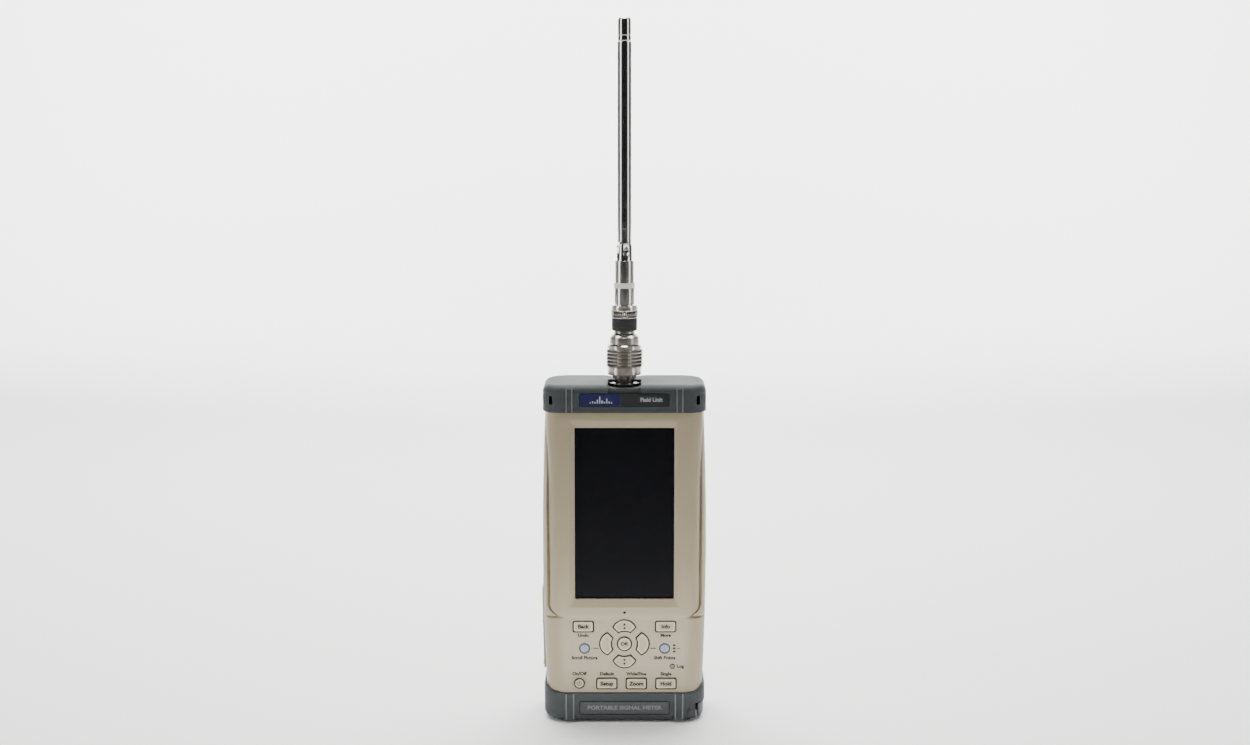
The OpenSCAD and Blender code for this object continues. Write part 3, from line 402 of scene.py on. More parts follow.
def piece(name, bm, body, slot, materials, *stands_for, sharp=38, weighted=True):
    """Makes a mesh in millimetres into a finished piece that rides on a body."""
    mesh = bpy.data.meshes.new(name)
    bm.normal_update()
    bm.to_mesh(mesh)
    bm.free()
    mesh.transform(Matrix.Scale(0.001, 4))
    mesh.polygons.foreach_set("use_smooth", [True] * len(mesh.polygons))
    mesh.set_sharp_from_angle(angle=math.radians(sharp))
    obj = bpy.data.objects.new(name, mesh)
    scene.collection.objects.link(obj)
    for material in materials if isinstance(materials, (list, tuple)) else [materials]:
        mesh.materials.append(material)
    if weighted:
        even = obj.modifiers.new("even", "WEIGHTED_NORMAL")
        even.keep_sharp = True
    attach(obj, body)
    if stands_for:
        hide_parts(*stands_for)
    return obj


beige = moulded("beige_plastic", srgb(147, 135, 109), 0.4, shade=0.05, grain=2600.0, depth=0.012)
# The walls of the key openings and of the pinhole get a dark brown material: painted shade where little light reaches
# into them. The power key's dish keeps the beige.
well_shade = moulded("well_shade", srgb(62, 55, 43), 0.7, grain=2600.0, depth=0.01)
for f in shell.faces:
    at = f.calc_center_median()
    in_dish = 3.2 < math.dist((at.x, at.z), POWER) < 5.2
    shaded_well = -22.49 < at.y < -20.5 and at.z < 58 and abs(at.x) < 33 and not in_dish
    shaded_pinhole = at.y > -22.97 and math.dist((at.x, at.z), PINHOLE) < 0.85
    f.material_index = int(shaded_well or shaded_pinhole)
piece("front_shell", shell, "case", "case", [beige, well_shade], "front_case", sharp=32)


# ---------------------------------------------------------------------------
# Rear shell, battery cover, tilt stand and side door. The same beige plastic;
# their moulded edges are eased, and the cover is held by four small screws.
# ---------------------------------------------------------------------------
def eased(name, body, slot, material, width=0.2, angle=38, node=None, sharp=38, segments=2):
    """A copy of a CAD node with its flat faces made whole and its sharp edges rounded."""
    node = node or name
    bm = bmesh.new()
    bm.from_mesh(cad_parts[node].data)
    bmesh.ops.scale(bm, vec=(1000, 1000, 1000), verts=bm.verts)
    bmesh.ops.remove_doubles(bm, verts=bm.verts, dist=0.002)
    bmesh.ops.dissolve_limit(bm, angle_limit=math.radians(0.4), verts=bm.verts, edges=bm.edges)
    keen = [e for e in bm.edges if len(e.link_faces) == 2 and e.calc_length() > 3 * width
            and e.calc_face_angle(0.0) > math.radians(angle)]
    if width:
        bmesh.ops.bevel(bm, geom=keen, offset=width, offset_type="OFFSET", affect="EDGES", segments=segments,
                        profile=0.5, material=-1, clamp_overlap=False)
    bmesh.ops.triangulate(bm, faces=[f for f in bm.faces if len(f.verts) > 4])
    return piece(name + "_piece", bm, body, slot, material, node, sharp=sharp)


eased("rear_case", "case", "case", beige, 0.25)
eased("battery_cover", "case", "case", beige, 0.2)
eased("tilt_stand", "stand", "case", moulded("stand_plastic", srgb(150, 140, 117), 0.4, grain=2600.0,
                                             depth=0.012), 0.35)
eased("side_door", "door", "case", beige, 0.3)
steel = moulded("plated_steel", srgb(170, 170, 168), 0.28, shade=0.12, grain=900.0, depth=0.004, Metallic=1.0)
eased("battery_cover_screws", "case", "steel", steel, 0.06)
eased("case_screws", "case", "steel", steel, 0.0)


# ---------------------------------------------------------------------------
# End caps. Slate grey rubber mouldings pushed over both ends of the case. The
# upper one is crowned, dips round the input socket, and has ribs, a label seat
# and a strap anchor at each front corner; the lower one holds the stylus.
# ---------------------------------------------------------------------------
def flat_xy(a, b, h):
    return Vector((a, b, h))


def cap_outline(hw, hd, r=13.6, rb=12.0, n=12):
    points = []
    for sx, sy, a0, q in ((1, -1, -90, r), (1, 1, 0, rb), (-1, 1, 90, rb), (-1, -1, 180, r)):
        for i in range(n + 1):
            a = math.radians(a0 + 90 * i / n)
            points.append((sx * (hw - q) + q * math.cos(a), sy * (hd - q) + q * math.sin(a)))
    return points


def box(x0, y0, z0, x1, y1, z1, round_by=0.0, segments=3):
    """A block between two corners, with all its edges rounded."""
    bm = bmesh.new()
    bmesh.ops.create_cube(bm, size=1.0)
    bmesh.ops.scale(bm, vec=(x1 - x0, y1 - y0, z1 - z0), verts=bm.verts)
    bmesh.ops.translate(bm, vec=((x0 + x1) / 2, (y0 + y1) / 2, (z0 + z1) / 2), verts=bm.verts)
    if round_by:
        bmesh.ops.bevel(bm, geom=bm.edges[:], offset=round_by, affect="EDGES", segments=segments, profile=0.5,
                        material=-1, clamp_overlap=True)
    return bm


def rod(r, a, b, steps=32, r2=None):
    """A cylinder or cone between two points."""
    bm = bmesh.new()
    a, b = Vector(a), Vector(b)
    bmesh.ops.create_cone(bm, cap_ends=True, segments=steps, radius1=r, radius2=r if r2 is None else r2,
                          depth=(b - a).length)
    turn = (b - a).to_track_quat("Z", "Y").to_matrix().to_4x4()
    bmesh.ops.transform(bm, matrix=Matrix.Translation((a + b) / 2) @ turn, verts=bm.verts)
    return bm


def merged(*parts):
    """Several meshes as one."""
    whole = bmesh.new()
    for part in parts:
        mesh = bpy.data.meshes.new("part")
        part.to_mesh(mesh)
        part.free()
        whole.from_mesh(mesh)
        bpy.data.meshes.remove(mesh)
    return whole


def crown(x):
    return -0.75 * (1 + math.cos(math.pi * min(1.0, abs(x) / 13))) - 0.25 * smooth_step((abs(x) - 30) / 12)


FACE = 24.3
round_top = [(4.2 * (1 - math.cos(math.radians(a))), 4.2 * math.sin(math.radians(a))) for a in range(0, 91, 15)]
upper = bmesh.new()
levels = [(176.6, -0.35), (176.75, -0.05), (177.1, 0.1), (178.6, 0.05), (180, 0)]
levels += [(192.0 - 4.2 + up, -inset) for inset, up in round_top]
top_face = stack(upper, cap_outline(45.5, FACE, 12.2), levels, flat_xy)
bmesh.ops.inset_region(upper, faces=[top_face], thickness=2.0, use_even_offset=True)
for x in range(-42, 43, 3):
    geom = upper.verts[:] + upper.edges[:] + upper.faces[:]
    bmesh.ops.bisect_plane(upper, geom=geom, plane_co=(x + 0.01, 0, 0), plane_no=(1, 0, 0), dist=0.0005)
for v in upper.verts:
    v.co.z += crown(v.co.x) * smooth_step((v.co.z - 182) / 8)
bmesh.ops.recalc_face_normals(upper, faces=upper.faces)
ribs = []
for x in (-30.6, 30.6):
    ribs.append(box(x - 1.5, -24.5, 176.9, x + 1.5, 24.5, 190.0, 0.1, 2))
    for s in (-1, 1):
        ribs.append(box(x + s * 1.6 - 0.32, -24.75, 176.9, x + s * 1.6 + 0.32, 24.75, 190.2, 0.14, 2))
upper = carve(upper, *ribs, how="UNION")
hollow = bmesh.new()
stack(hollow, cap_outline(42.4, 21.0, 10.4, 7.4), [(170, 0), (188.5, 0)], flat_xy)
seat = bmesh.new()
stack(seat, rounded(49.6, 7.1, 0.8, 0, 183.95), [(-30, 0.45), (-24.3, 0.45), (-23.95, 0.1), (-23.5, 0)])
well = bmesh.new()
stack(well, disc(9.4, n=64), [(186, 0), (190.1, 0), (190.6, 0.35), (200, 0.35)], flat_xy)
mouth = box(-9.3, -22.7, 188.9, 9.3, 0, 199, 0.5)
panel = box(-9.1, -30, 187.6, 9.1, -22.9, 199, 0.4)
straps = []
for s in (-1, 1):
    x0, x1 = sorted((s * 39.9, s * 41.8))
    straps.append(box(x0, -40, 181.0, x1, -13.8, 185.9, 0.5))
    x0, x1 = sorted((s * 40.6, s * 60))
    straps.append(box(x0, -16.6, 181.0, x1, -13.9, 185.9, 0.5))
for tool in (hollow, seat, well):
    bmesh.ops.recalc_face_normals(tool, faces=tool.faces)
upper = carve(upper, hollow, seat, well, mouth, panel, *straps)
slate = moulded("slate_rubber", srgb(53, 57, 58), 0.6, shade=0.07, grain=2200.0, depth=0.02, wear=0.2,
                Specular_IOR_Level=0.3)
# A paler slate for the proud faces of the ribs: painted highlight.
rib_highlight = moulded("slate_rib_highlight", srgb(98, 103, 104), 0.45, shade=0.2, grain=1200.0, depth=0.01, wear=0.3)


def paint_rib_highlights(bm, low, high):
    """Gives the thin proud faces of the ribs a paler slate: a painted highlight along their edges."""
    for f in bm.faces:
        at = f.calc_center_median()
        if abs(at.y) > 24.56 and low < at.z < high:
            f.material_index = 1
    return bm


piece("upper_cap", paint_rib_highlights(upper, 176, 192), "case", "cap_rubber", [slate, rib_highlight], "top_bumper", sharp=40)
plate = box(-9.0, -23.1, 187.5, 9.0, -22.55, 190.1, 0.15, 2)
piece("socket_panel", plate, "case", "cap_rubber", moulded("panel_rubber", srgb(44, 47, 49), 0.55, depth=0.01))

lower = bmesh.new()
round_foot = [(4.0 * (1 - math.sin(math.radians(a))), 4.0 * (1 - math.cos(math.radians(a)))) for a in range(0, 91, 15)]
levels = [(1.0 + up, -inset) for inset, up in round_foot] + [(9, 0.05), (15.5, 0.1), (16.8, 0.05), (17.2, -0.3)]
stack(lower, cap_outline(45.4, FACE), levels, flat_xy)
for v in lower.verts:
    if v.co.z > 14 and abs(v.co.x) > 42.5:
        v.co.z += 3.0 * smooth_step((abs(v.co.x) - 42.5) / 2.6) * smooth_step((v.co.z - 14) / 3)
bmesh.ops.recalc_face_normals(lower, faces=lower.faces)
ribs = []
for x in (-30.7, 30.7):
    ribs.append(box(x - 2.0, -24.5, 1.6, x + 2.0, 24.5, 16.9, 0.1, 2))
    for s in (-1, 1):
        ribs.append(box(x + s * 2.1 - 0.35, -24.75, 1.6, x + s * 2.1 + 0.35, 24.75, 16.9, 0.14, 2))
lower = carve(lower, *ribs, how="UNION")
hollow = bmesh.new()
stack(hollow, cap_outline(42.4, 21.0, 10.4, 7.4), [(4.5, 0), (25, 0)], flat_xy)
seat = bmesh.new()
stack(seat, rounded(50.2, 7.5, 1.3, 0, 8.65), [(-30, 0.55), (-24.3, 0.55), (-23.95, 0.1), (-23.5, 0)])
for tool in (hollow, seat):
    bmesh.ops.recalc_face_normals(tool, faces=tool.faces)
notch = box(39.9, -40, -3, 60, 1.5, 10.6, 0.4)
root = box(36.6, -6.5, -3, 41, 1.5, 10.6, 0.3)
scoop = rod(6.2, (38.2, -30, -4.4), (38.2, -12, -4.4), 48)
lower = carve(lower, hollow, seat, notch, root, scoop)
piece("lower_cap", paint_rib_highlights(lower, 0, 18), "case", "cap_rubber", [slate, rib_highlight], "bottom_bumper", sharp=40)
button = bmesh.new()
stack(button, disc(1.5, 37.4, 6.2, n=28), [(-24.2, 0), (-24.45, 0), (-24.55, -0.12), (-24.5, -0.35)])
bmesh.ops.recalc_face_normals(button, faces=button.faces)
piece("cap_plug", button, "case", "cap_rubber", slate)

eased("stylus", "stylus", "cap_rubber", moulded("stylus_plastic", srgb(46, 51, 56), 0.38, depth=0.006), 0.5,
      segments=3)
eased("base_feet", "case", "black_rubber", moulded("foot_rubber", srgb(38, 38, 38), 0.7, grain=1500.0,
                                                  depth=0.03), 0.3)


# ---------------------------------------------------------------------------
# Labels. Printed overlays let into the end caps: a dark strip with a blue badge
# at its left above, and a grey strip with the instrument's general name below.
# ---------------------------------------------------------------------------
def plain_paint(name, colour, roughness, **sockets):
    return moulded(name, colour, roughness, shade=0.04, grain=700.0, depth=0.003, wear=0.12, **sockets)


ink = plain_paint("dark_ink", srgb(13, 12, 11), 0.7)
light_ink = plain_paint("light_ink", srgb(160, 162, 163), 0.5)
dim_ink = plain_paint("dim_ink", srgb(128, 129, 131), 0.5)
faint_ink = plain_paint("faint_ink", srgb(98, 100, 101), 0.5)
label_dark = plain_paint("label_dark", srgb(13, 14, 15), 0.4, Coat_Weight=0.15, Coat_Roughness=0.3)
badge_blue = plain_paint("badge_blue", srgb(6, 9, 66), 0.34, Coat_Weight=0.15, Coat_Roughness=0.15)
label_grey = plain_paint("label_grey", srgb(48, 51, 52), 0.5)


def strip(name, x0, x1, z0, z1, y, material, slot, body="case", thick=0.6, *stands_for):
    bm = box(x0, y, z0, x1, y + thick, z1, 0.12, 2)
    return piece(name, bm, body, slot, material, *stands_for)


strip("label_strip", -2.2, 24.6, 180.6, 187.3, -24.18, label_dark, "label", "case", 0.65, "top_label")
strip("badge_strip", -24.6, -2.3, 180.6, 187.3, -24.2, badge_blue, "label", "case", 0.65)
strip("name_strip", -24.9, 24.9, 5.1, 12.2, -24.18, label_grey, "plate", "case", 0.65, "bottom_label")
border = bmesh.new()
stack(border, rounded(49.4, 6.7, 0.9, 0, 8.65), [(-24.2, 0), (-24.1, 0)])
inside = bmesh.new()
stack(inside, rounded(48.9, 6.2, 0.7, 0, 8.65), [(-24.6, 0), (-23.6, 0)])
for bm in (border, inside):
    bmesh.ops.recalc_face_normals(bm, faces=bm.faces)
piece("name_border", carve(border, inside), "case", "plate", label_dark)


def legend(name, words, x, z, y, tall, material, body="case", slot="label", stretch=1.0):
    """Flat printed lettering, centred on a point of a face that looks forwards."""
    curve = bpy.data.curves.new(name + "_line", "FONT")
    curve.body, curve.size, curve.align_x, curve.align_y = words, tall * 1.42, "CENTER", "CENTER"
    curve.extrude, curve.offset = 0.012, 0.13 * tall / 1.8
    curve.resolution_u = 3
    source = bpy.data.objects.new(name + "_line", curve)
    scene.collection.objects.link(source)
    graph = bpy.context.evaluated_depsgraph_get()
    bm = bmesh.new()
    bm.from_mesh(source.evaluated_get(graph).to_mesh())
    bpy.data.objects.remove(source)
    bpy.data.curves.remove(curve)
    bmesh.ops.scale(bm, vec=(stretch, 1, 1), verts=bm.verts)
    bmesh.ops.rotate(bm, cent=(0, 0, 0), matrix=Matrix.Rotation(math.radians(90), 3, "X"), verts=bm.verts)
    bmesh.ops.translate(bm, vec=(x, y, z), verts=bm.verts)
    return piece(name, bm, body, slot, material, sharp=30, weighted=False)


legend("name_lettering", "PORTABLE SIGNAL METER", 0, 8.7, -24.2, 2.1, faint_ink, slot="plate", stretch=1.2)
legend("band_lettering", "Field Unit", 14.8, 184.0, -24.2, 2.2, dim_ink, stretch=1.0)
trace = []
for i, tall in enumerate((0.8, 1.3, 0.9, 2.2, 3.9, 1.7, 1.1, 2.8, 1.2, 0.8)):
    trace.append(box(-19.2 + 1.3 * i, -24.23, 182.0, -18.5 + 1.3 * i, -24.15, 182.0 + tall, 0.02, 1))
piece("badge_bars", merged(*trace), "case", "label", light_ink)


# ---------------------------------------------------------------------------
# Display. A dark touch panel over the unlit display module, sealed to the back
# of its sloping surround by a thin black gasket.
# ---------------------------------------------------------------------------
glass = moulded("panel_glass", (0.0022, 0.0022, 0.0040, 1), 0.24, shade=0.1, grain=300.0, depth=0.0, wear=0.04,
                Specular_IOR_Level=0.1)
eased("touch_panel", "case", "panel", glass, 0.05)
black = moulded("black_rubber_skin", srgb(28, 28, 29), 0.62, grain=1500.0, depth=0.02)
eased("screen_gasket", "case", "black_rubber", black, 0.0)
eased("lcd_module", "case", "frame_metal", steel, 0.1)


# ---------------------------------------------------------------------------
# Keys. Pale silicone rubber caps with a raised, rounded rim and a slightly
# greyer face; a flange behind the shell keeps each from falling out.
# ---------------------------------------------------------------------------
rim = moulded("key_rim", srgb(188, 176, 149), 0.5, grain=1600.0, depth=0.012)
key_face = moulded("key_face", srgb(160, 149, 124), 0.58, grain=1600.0, depth=0.016)
# The key skirts below the shell's face are dark grey-brown: partly a darker silicone base, partly painted shade in the
# gap round each key.
key_skirt_shade = moulded("key_skirt_shade", srgb(62, 55, 43), 0.65, grain=1600.0, depth=0.016)
CAP_LEVELS = [(-19.3, 1.1), (-20.0, 1.1), (-20.01, 0), (-22.35, 0), (-23.0, 0), (-23.22, -0.07), (-23.36, -0.24),
              (-23.4, -0.45), (-23.38, -0.62), (-23.27, -0.85)]


def key_cap(name, outline, levels, body, inner=-1.0):
    bm = bmesh.new()
    face = stack(bm, outline, levels)
    face.material_index = 1
    bmesh.ops.recalc_face_normals(bm, faces=bm.faces)
    # Faces below the shell's face take the dark skirt: painted shade in the gap, over a darker silicone base.
    for f in bm.faces:
        if f.calc_center_median().y > -22.4:
            f.material_index = 2
    return piece(name + "_cap", bm, body, "key", [rim, key_face, key_skirt_shade], name, sharp=50)


for key, at in PAD_KEYS.items():
    key_cap(key, rounded(10.6, 5.4, 0.8, *at), CAP_LEVELS, key)
for key, turn in RING_KEYS.items():
    bm = bmesh.new()
    turn = math.radians(turn)
    face = None
    rings = [petal(6.5, 3.6, 7.7, turn, g) for _, g in CAP_LEVELS]
    face = bm.faces.new([bm.verts.new((x, CAP_LEVELS[0][0], z)) for x, z in rings[0]])
    ring = rings[0]
    for step, ((height, _), target) in enumerate(zip(CAP_LEVELS[1:], rings[1:])):
        made = bmesh.ops.extrude_face_region(bm, geom=[face])["geom"]
        if step:
            bm.faces.remove(face)
        face = [g for g in made if isinstance(g, bmesh.types.BMFace)][0]
        for v in face.verts:
            i = min(range(len(ring)), key=lambda i: (ring[i][0] - v.co.x) ** 2 + (ring[i][1] - v.co.z) ** 2)
            v.co = Vector((target[i][0], height, target[i][1]))
        ring = target
    face.material_index = 1
    bmesh.ops.recalc_face_normals(bm, faces=bm.faces)
    # Faces below the shell's face take the dark skirt: painted shade in the gap, over a darker silicone base.
    for f in bm.faces:
        if f.calc_center_median().y > -22.4:
            f.material_index = 2
    piece(key + "_cap", bm, key, "key", [rim, key_face, key_skirt_shade], key, sharp=50)
key_cap("enter_key", disc(3.55, *CENTRE, n=48), CAP_LEVELS, "enter_key")
key_cap("power_key", disc(2.4, *POWER, n=40), [(-19.3, 1.1), (-20.0, 1.1), (-20.01, 0), (-22.2, 0), (-22.5, 0),
                                              (-22.7, -0.07), (-22.8, -0.25), (-22.78, -0.45), (-22.7, -0.6)],
        "power_key")


# Legends. Dark printing on the keys and on the face beside them.
TOP = -23.28
for key, words in (("exit_key", "Back"), ("status_key", "Info"), ("presets_key", "Setup"), ("view_key", "Zoom"),
                   ("run_key", "Hold")):
    legend(key + "_word", words, PAD_KEYS[key][0], PAD_KEYS[key][1], TOP, 2.1, ink, key, "key", 1.05)
legend("enter_key_word", "OK", CENTRE[0], CENTRE[1], TOP, 1.9, ink, "enter_key", "key", 1.1)
for name, words, x, z in (("exit_legend", "Undo", -23.1, 50.2), ("status_legend", "More", 23.1, 50.2),
                          ("arrows_legend", "Scroll Picture", -22.4, 37.2), ("point_legend", "Shift Points", 22.6, 37.2),
                          ("power_legend", "On/Off", -25.4, 28.0), ("setup_legend", "Default", -9.9, 27.9),
                          ("zoom_legend", "Wide/Fine", 6.7, 27.9), ("hold_legend", "Single", 23.35, 27.9),
                          ("store_legend", "Log", 31.4, 32.3)):
    legend(name, words, x, z, CASE_FRONT - 0.01, 1.8, ink, "case", "label", 1.05)
marks = []
for s in (-1, 1):
    x0, x1 = sorted((s * 14.6, s * 17.6))
    marks.append(box(x0, -22.52, 42.5, x1, -22.47, 43.0, 0.01, 1))
for z in (40.9, 42.7, 44.5):
    marks.append(box(27.2, -22.52, z - 0.55, 28.7, -22.47, z + 0.55, 0.02, 1))
marks.append(box(29.4, -22.52, 42.5, 31.4, -22.47, 42.9, 0.01, 1))
piece("face_marks", merged(*marks), "case", "label", ink)
for key, s in (("up_key", 1), ("down_key", -1)):
    arrows = []
    for z in (9.0, 11.2):
        bm = bmesh.new()
        bmesh.ops.create_cone(bm, cap_ends=True, segments=3, radius1=1.05, radius2=1.05, depth=0.05)
        bmesh.ops.rotate(bm, cent=(0, 0, 0), matrix=Matrix.Rotation(math.radians(90), 3, "X"), verts=bm.verts)
        bmesh.ops.rotate(bm, cent=(0, 0, 0), matrix=Matrix.Rotation(math.radians(0 if s > 0 else 180), 3, "Y"),
                         verts=bm.verts)
        bmesh.ops.translate(bm, vec=(0, TOP + 0.01, 45.4 + s * z), verts=bm.verts)
        arrows.append(bm)
    piece(key + "_arrows", merged(*arrows), key, "key", ink)
sign = bmesh.new()
stack(sign, disc(1.25, *POWER, n=28), [(-22.73, 0), (-22.69, 0)])
bmesh.ops.recalc_face_normals(sign, faces=sign.faces)
inner = bmesh.new()
stack(inner, disc(0.98, *POWER, n=28), [(-23, 0), (-22.5, 0)])
bmesh.ops.recalc_face_normals(inner, faces=inner.faces)
sign = carve(sign, inner, box(-25.75, -23, 22.6, -25.05, -22.5, 24.5))
piece("power_sign", merged(sign, box(-25.55, -22.73, 22.3, -25.25, -22.69, 23.9)), "power_key", "key", ink)


# ---------------------------------------------------------------------------
# Lamps. Two round frosted lenses, slightly sunk, light up for what the arrows
# move; a small one shows that the memory is in use.
# ---------------------------------------------------------------------------
lens = moulded("frosted_lens", srgb(94, 112, 129), 0.35, shade=0.05, grain=900.0, depth=0.004,
               Subsurface_Weight=0.0, Coat_Weight=0.3, Coat_Roughness=0.2)
for name, at in (("navigate_lamp", NAVIGATE), ("marker_lamp", MARKER)):
    bm = bmesh.new()
    stack(bm, disc(2.6, *at, n=40), [(-18.2, 0), (-20.3, 0), (-22.2, 0), (-22.36, -0.12), (-22.42, -0.5),
                                    (-22.45, -1.4)])
    bmesh.ops.recalc_face_normals(bm, faces=bm.faces)
    piece(name + "_lens", bm, "case", "lens", lens, name, sharp=50)
glyph = plain_paint("lamp_mark", srgb(72, 96, 130), 0.5)
bits = []
for dx, dz in ((0, 1.05), (0, -1.05), (1.05, 0), (-1.05, 0)):
    bits.append(box(-22.4 + dx - 0.32, -22.49, 42.7 + dz - 0.32, -22.4 + dx + 0.32, -22.44, 42.7 + dz + 0.32,
                    0.02, 1))
piece("navigate_mark", merged(*bits), "case", "lens", glyph)
bits = [box(22.6 - 0.18, -22.49, 41.4, 22.6 + 0.18, -22.44, 44.0, 0.02, 1),
        box(21.7, -22.49, 42.1, 23.5, -22.44, 42.4, 0.02, 1)]
piece("marker_mark", merged(*bits), "case", "lens", glyph)
bm = bmesh.new()
stack(bm, disc(1.38, *DISK, n=28), [(-18.2, 0), (-22.2, 0), (-22.36, -0.1), (-22.42, -0.5)])
bmesh.ops.recalc_face_normals(bm, faces=bm.faces)
piece("disk_lens", bm, "case", "lens", moulded("dark_lens", srgb(66, 62, 58), 0.3, grain=900.0, depth=0.0),
      "disk_lamp", sharp=50)


# ---------------------------------------------------------------------------
# Input socket and adapter. Nickel-plated brass: the socket through the case's
# top with its hexagon nut, the knurled coupling nut, and the adapter to a
# bayonet plug, whose collar has a black grip band.
# ---------------------------------------------------------------------------
def polish_group():
    """Fine machining lines and slow tarnish for bright metal turned about the vertical."""
    group = bpy.data.node_groups.new("turned_polish", "ShaderNodeTree")
    face = group.interface
    face.new_socket("Color", in_out="INPUT", socket_type="NodeSocketColor")
    face.new_socket("Roughness", in_out="INPUT", socket_type="NodeSocketFloat")
    face.new_socket("Lines", in_out="INPUT", socket_type="NodeSocketFloat")
    face.new_socket("Color", in_out="OUTPUT", socket_type="NodeSocketColor")
    face.new_socket("Roughness", in_out="OUTPUT", socket_type="NodeSocketFloat")
    face.new_socket("Height", in_out="OUTPUT", socket_type="NodeSocketFloat")
    new, link = group.nodes.new, group.links.new
    inputs, outputs = new("NodeGroupInput"), new("NodeGroupOutput")
    where, stretch = new("ShaderNodeTexCoord"), new("ShaderNodeMapping")
    stretch.inputs["Scale"].default_value = (25, 25, 5200)
    link(where.outputs["Object"], stretch.inputs["Vector"])
    lines, slow = new("ShaderNodeTexNoise"), new("ShaderNodeTexNoise")
    lines.inputs["Scale"].default_value = 1.0
    lines.inputs["Detail"].default_value = 2.0
    slow.inputs["Scale"].default_value = 130.0
    slow.inputs["Detail"].default_value = 5.0
    link(stretch.outputs[0], lines.inputs["Vector"])
    link(where.outputs["Object"], slow.inputs["Vector"])
    rough = new("ShaderNodeMath")
    rough.operation = "MULTIPLY_ADD"
    link(slow.outputs["Fac"], rough.inputs[0])
    rough.inputs[1].default_value = 0.12
    link(inputs.outputs["Roughness"], rough.inputs[2])
    link(rough.outputs[0], outputs.inputs["Roughness"])
    shade = new("ShaderNodeMath")
    shade.operation = "MULTIPLY_ADD"
    link(slow.outputs["Fac"], shade.inputs[0])
    shade.inputs[1].default_value = -0.22
    shade.inputs[2].default_value = 1.08
    tint = new("ShaderNodeVectorMath")
    tint.operation = "SCALE"
    link(inputs.outputs["Color"], tint.inputs[0])
    link(shade.outputs[0], tint.inputs["Scale"])
    link(tint.outputs[0], outputs.inputs["Color"])
    ridges = new("ShaderNodeMath")
    ridges.operation = "MULTIPLY"
    link(lines.outputs["Fac"], ridges.inputs[0])
    link(inputs.outputs["Lines"], ridges.inputs[1])
    link(ridges.outputs[0], outputs.inputs["Height"])
    return group


POLISH = polish_group()


def turned(name, colour, roughness, lines=1.0):
    material = bpy.data.materials.new(name)
    material.use_nodes = True
    tree = material.node_tree
    shader = tree.nodes["Principled BSDF"]
    shader.inputs["Metallic"].default_value = 1.0
    skin = tree.nodes.new("ShaderNodeGroup")
    skin.node_tree = POLISH
    skin.inputs["Color"].default_value = colour
    skin.inputs["Roughness"].default_value = roughness
    skin.inputs["Lines"].default_value = lines
    bump = tree.nodes.new("ShaderNodeBump")
    bump.inputs["Distance"].default_value = 0.000004
    tree.links.new(skin.outputs["Color"], shader.inputs["Base Color"])
    tree.links.new(skin.outputs["Roughness"], shader.inputs["Roughness"])
    tree.links.new(skin.outputs["Height"], bump.inputs["Height"])
    tree.links.new(bump.outputs["Normal"], shader.inputs["Normal"])
    return material


nickel = turned("nickel_plate", (0.64, 0.605, 0.55, 1), 0.1)
bright = turned("bright_chrome", (0.8, 0.785, 0.765, 1), 0.06, 0.4)
dull = turned("worn_nickel", (0.42, 0.395, 0.355, 1), 0.16)


def spun(profile, steps=96):
    """A profile of (radius, height) points spun into a closed ring or rod about the vertical."""
    bm = bmesh.new()
    verts = [bm.verts.new((r, 0, z)) for r, z in profile]
    edges = [bm.edges.new((a, b)) for a, b in zip(verts, verts[1:])]
    if profile[0][0] > 0:
        edges.append(bm.edges.new((verts[-1], verts[0])))
    bmesh.ops.spin(bm, geom=verts + edges, cent=(0, 0, 0), axis=(0, 0, 1), dvec=(0, 0, 0),
                   angle=2 * math.pi, steps=steps, use_merge=True)
    bmesh.ops.remove_doubles(bm, verts=bm.verts, dist=0.0005)
    bmesh.ops.recalc_face_normals(bm, faces=bm.faces)
    return bm


def eased_profile(points, by=0.18):
    """A closed profile with each corner cut back twice, so that its edges read as rounded."""
    result, n = [], len(points)
    for i in range(n):
        p, a, b = Vector(points[i]), Vector(points[i - 1]), Vector(points[(i + 1) % n])
        if p.x < 0.001:
            result.append((0.0, p.y))
            continue
        k = min(by, (a - p).length * 0.4, (b - p).length * 0.4)
        u, v = p + (a - p).normalized() * k, p + (b - p).normalized() * k
        m = (u + v) / 4 + p / 2
        result += [(u.x, u.y), (m.x, m.y), (v.x, v.y)]
    return result


eased("rf_jack", "case", "chrome", dull, 0.12)
# The socket's hexagon nut is near-black nickel: painted shadow for the shade under the coupling nut.
eased("rf_jack_nut", "case", "chrome", turned("shadowed_nickel", (0.16, 0.15, 0.135, 1), 0.25), 0.15)
nut = [(8.02, 195.2), (8.02, 207.0), (6.48, 207.0), (6.48, 212.2), (9.1, 212.2), (9.5, 211.7), (9.5, 210.25),
       (9.25, 210.1), (9.25, 209.8), (9.9, 209.6)]
nut += [(10.05, 209.7 - 0.4 * i) for i in range(1, 25)]
nut += [(9.9, 199.95), (9.2, 199.75), (9.2, 199.5), (9.57, 199.3), (9.57, 195.6), (9.2, 195.2)]


def knurled(bm, r, low, high, around, pitch, depth):
    """Presses crossed grooves into the turned face of radius r between two heights, and paints the valleys dark as
    painted shade.
    """
    for v in bm.verts:
        here = math.hypot(v.co.x, v.co.y)
        if here > r - 0.12 and low < v.co.z < high:
            a, q = math.atan2(v.co.y, v.co.x) * around / (2 * math.pi), (v.co.z - low) / pitch
            dent = min(1 - abs(2 * ((a + q) % 1) - 1), 1 - abs(2 * ((a - q) % 1) - 1))
            k = (r - depth * (1 - min(1.0, 1.6 * dent))) / here
            v.co.x *= k
            v.co.y *= k
    # Faces down in the valleys take the second, near-black material: painted shade in the knurl's grooves.
    for f in bm.faces:
        at = f.calc_center_median()
        if low < at.z < high and r - 1.1 < math.hypot(at.x, at.y) < r - 0.55 * depth:
            f.material_index = 1
    return bm
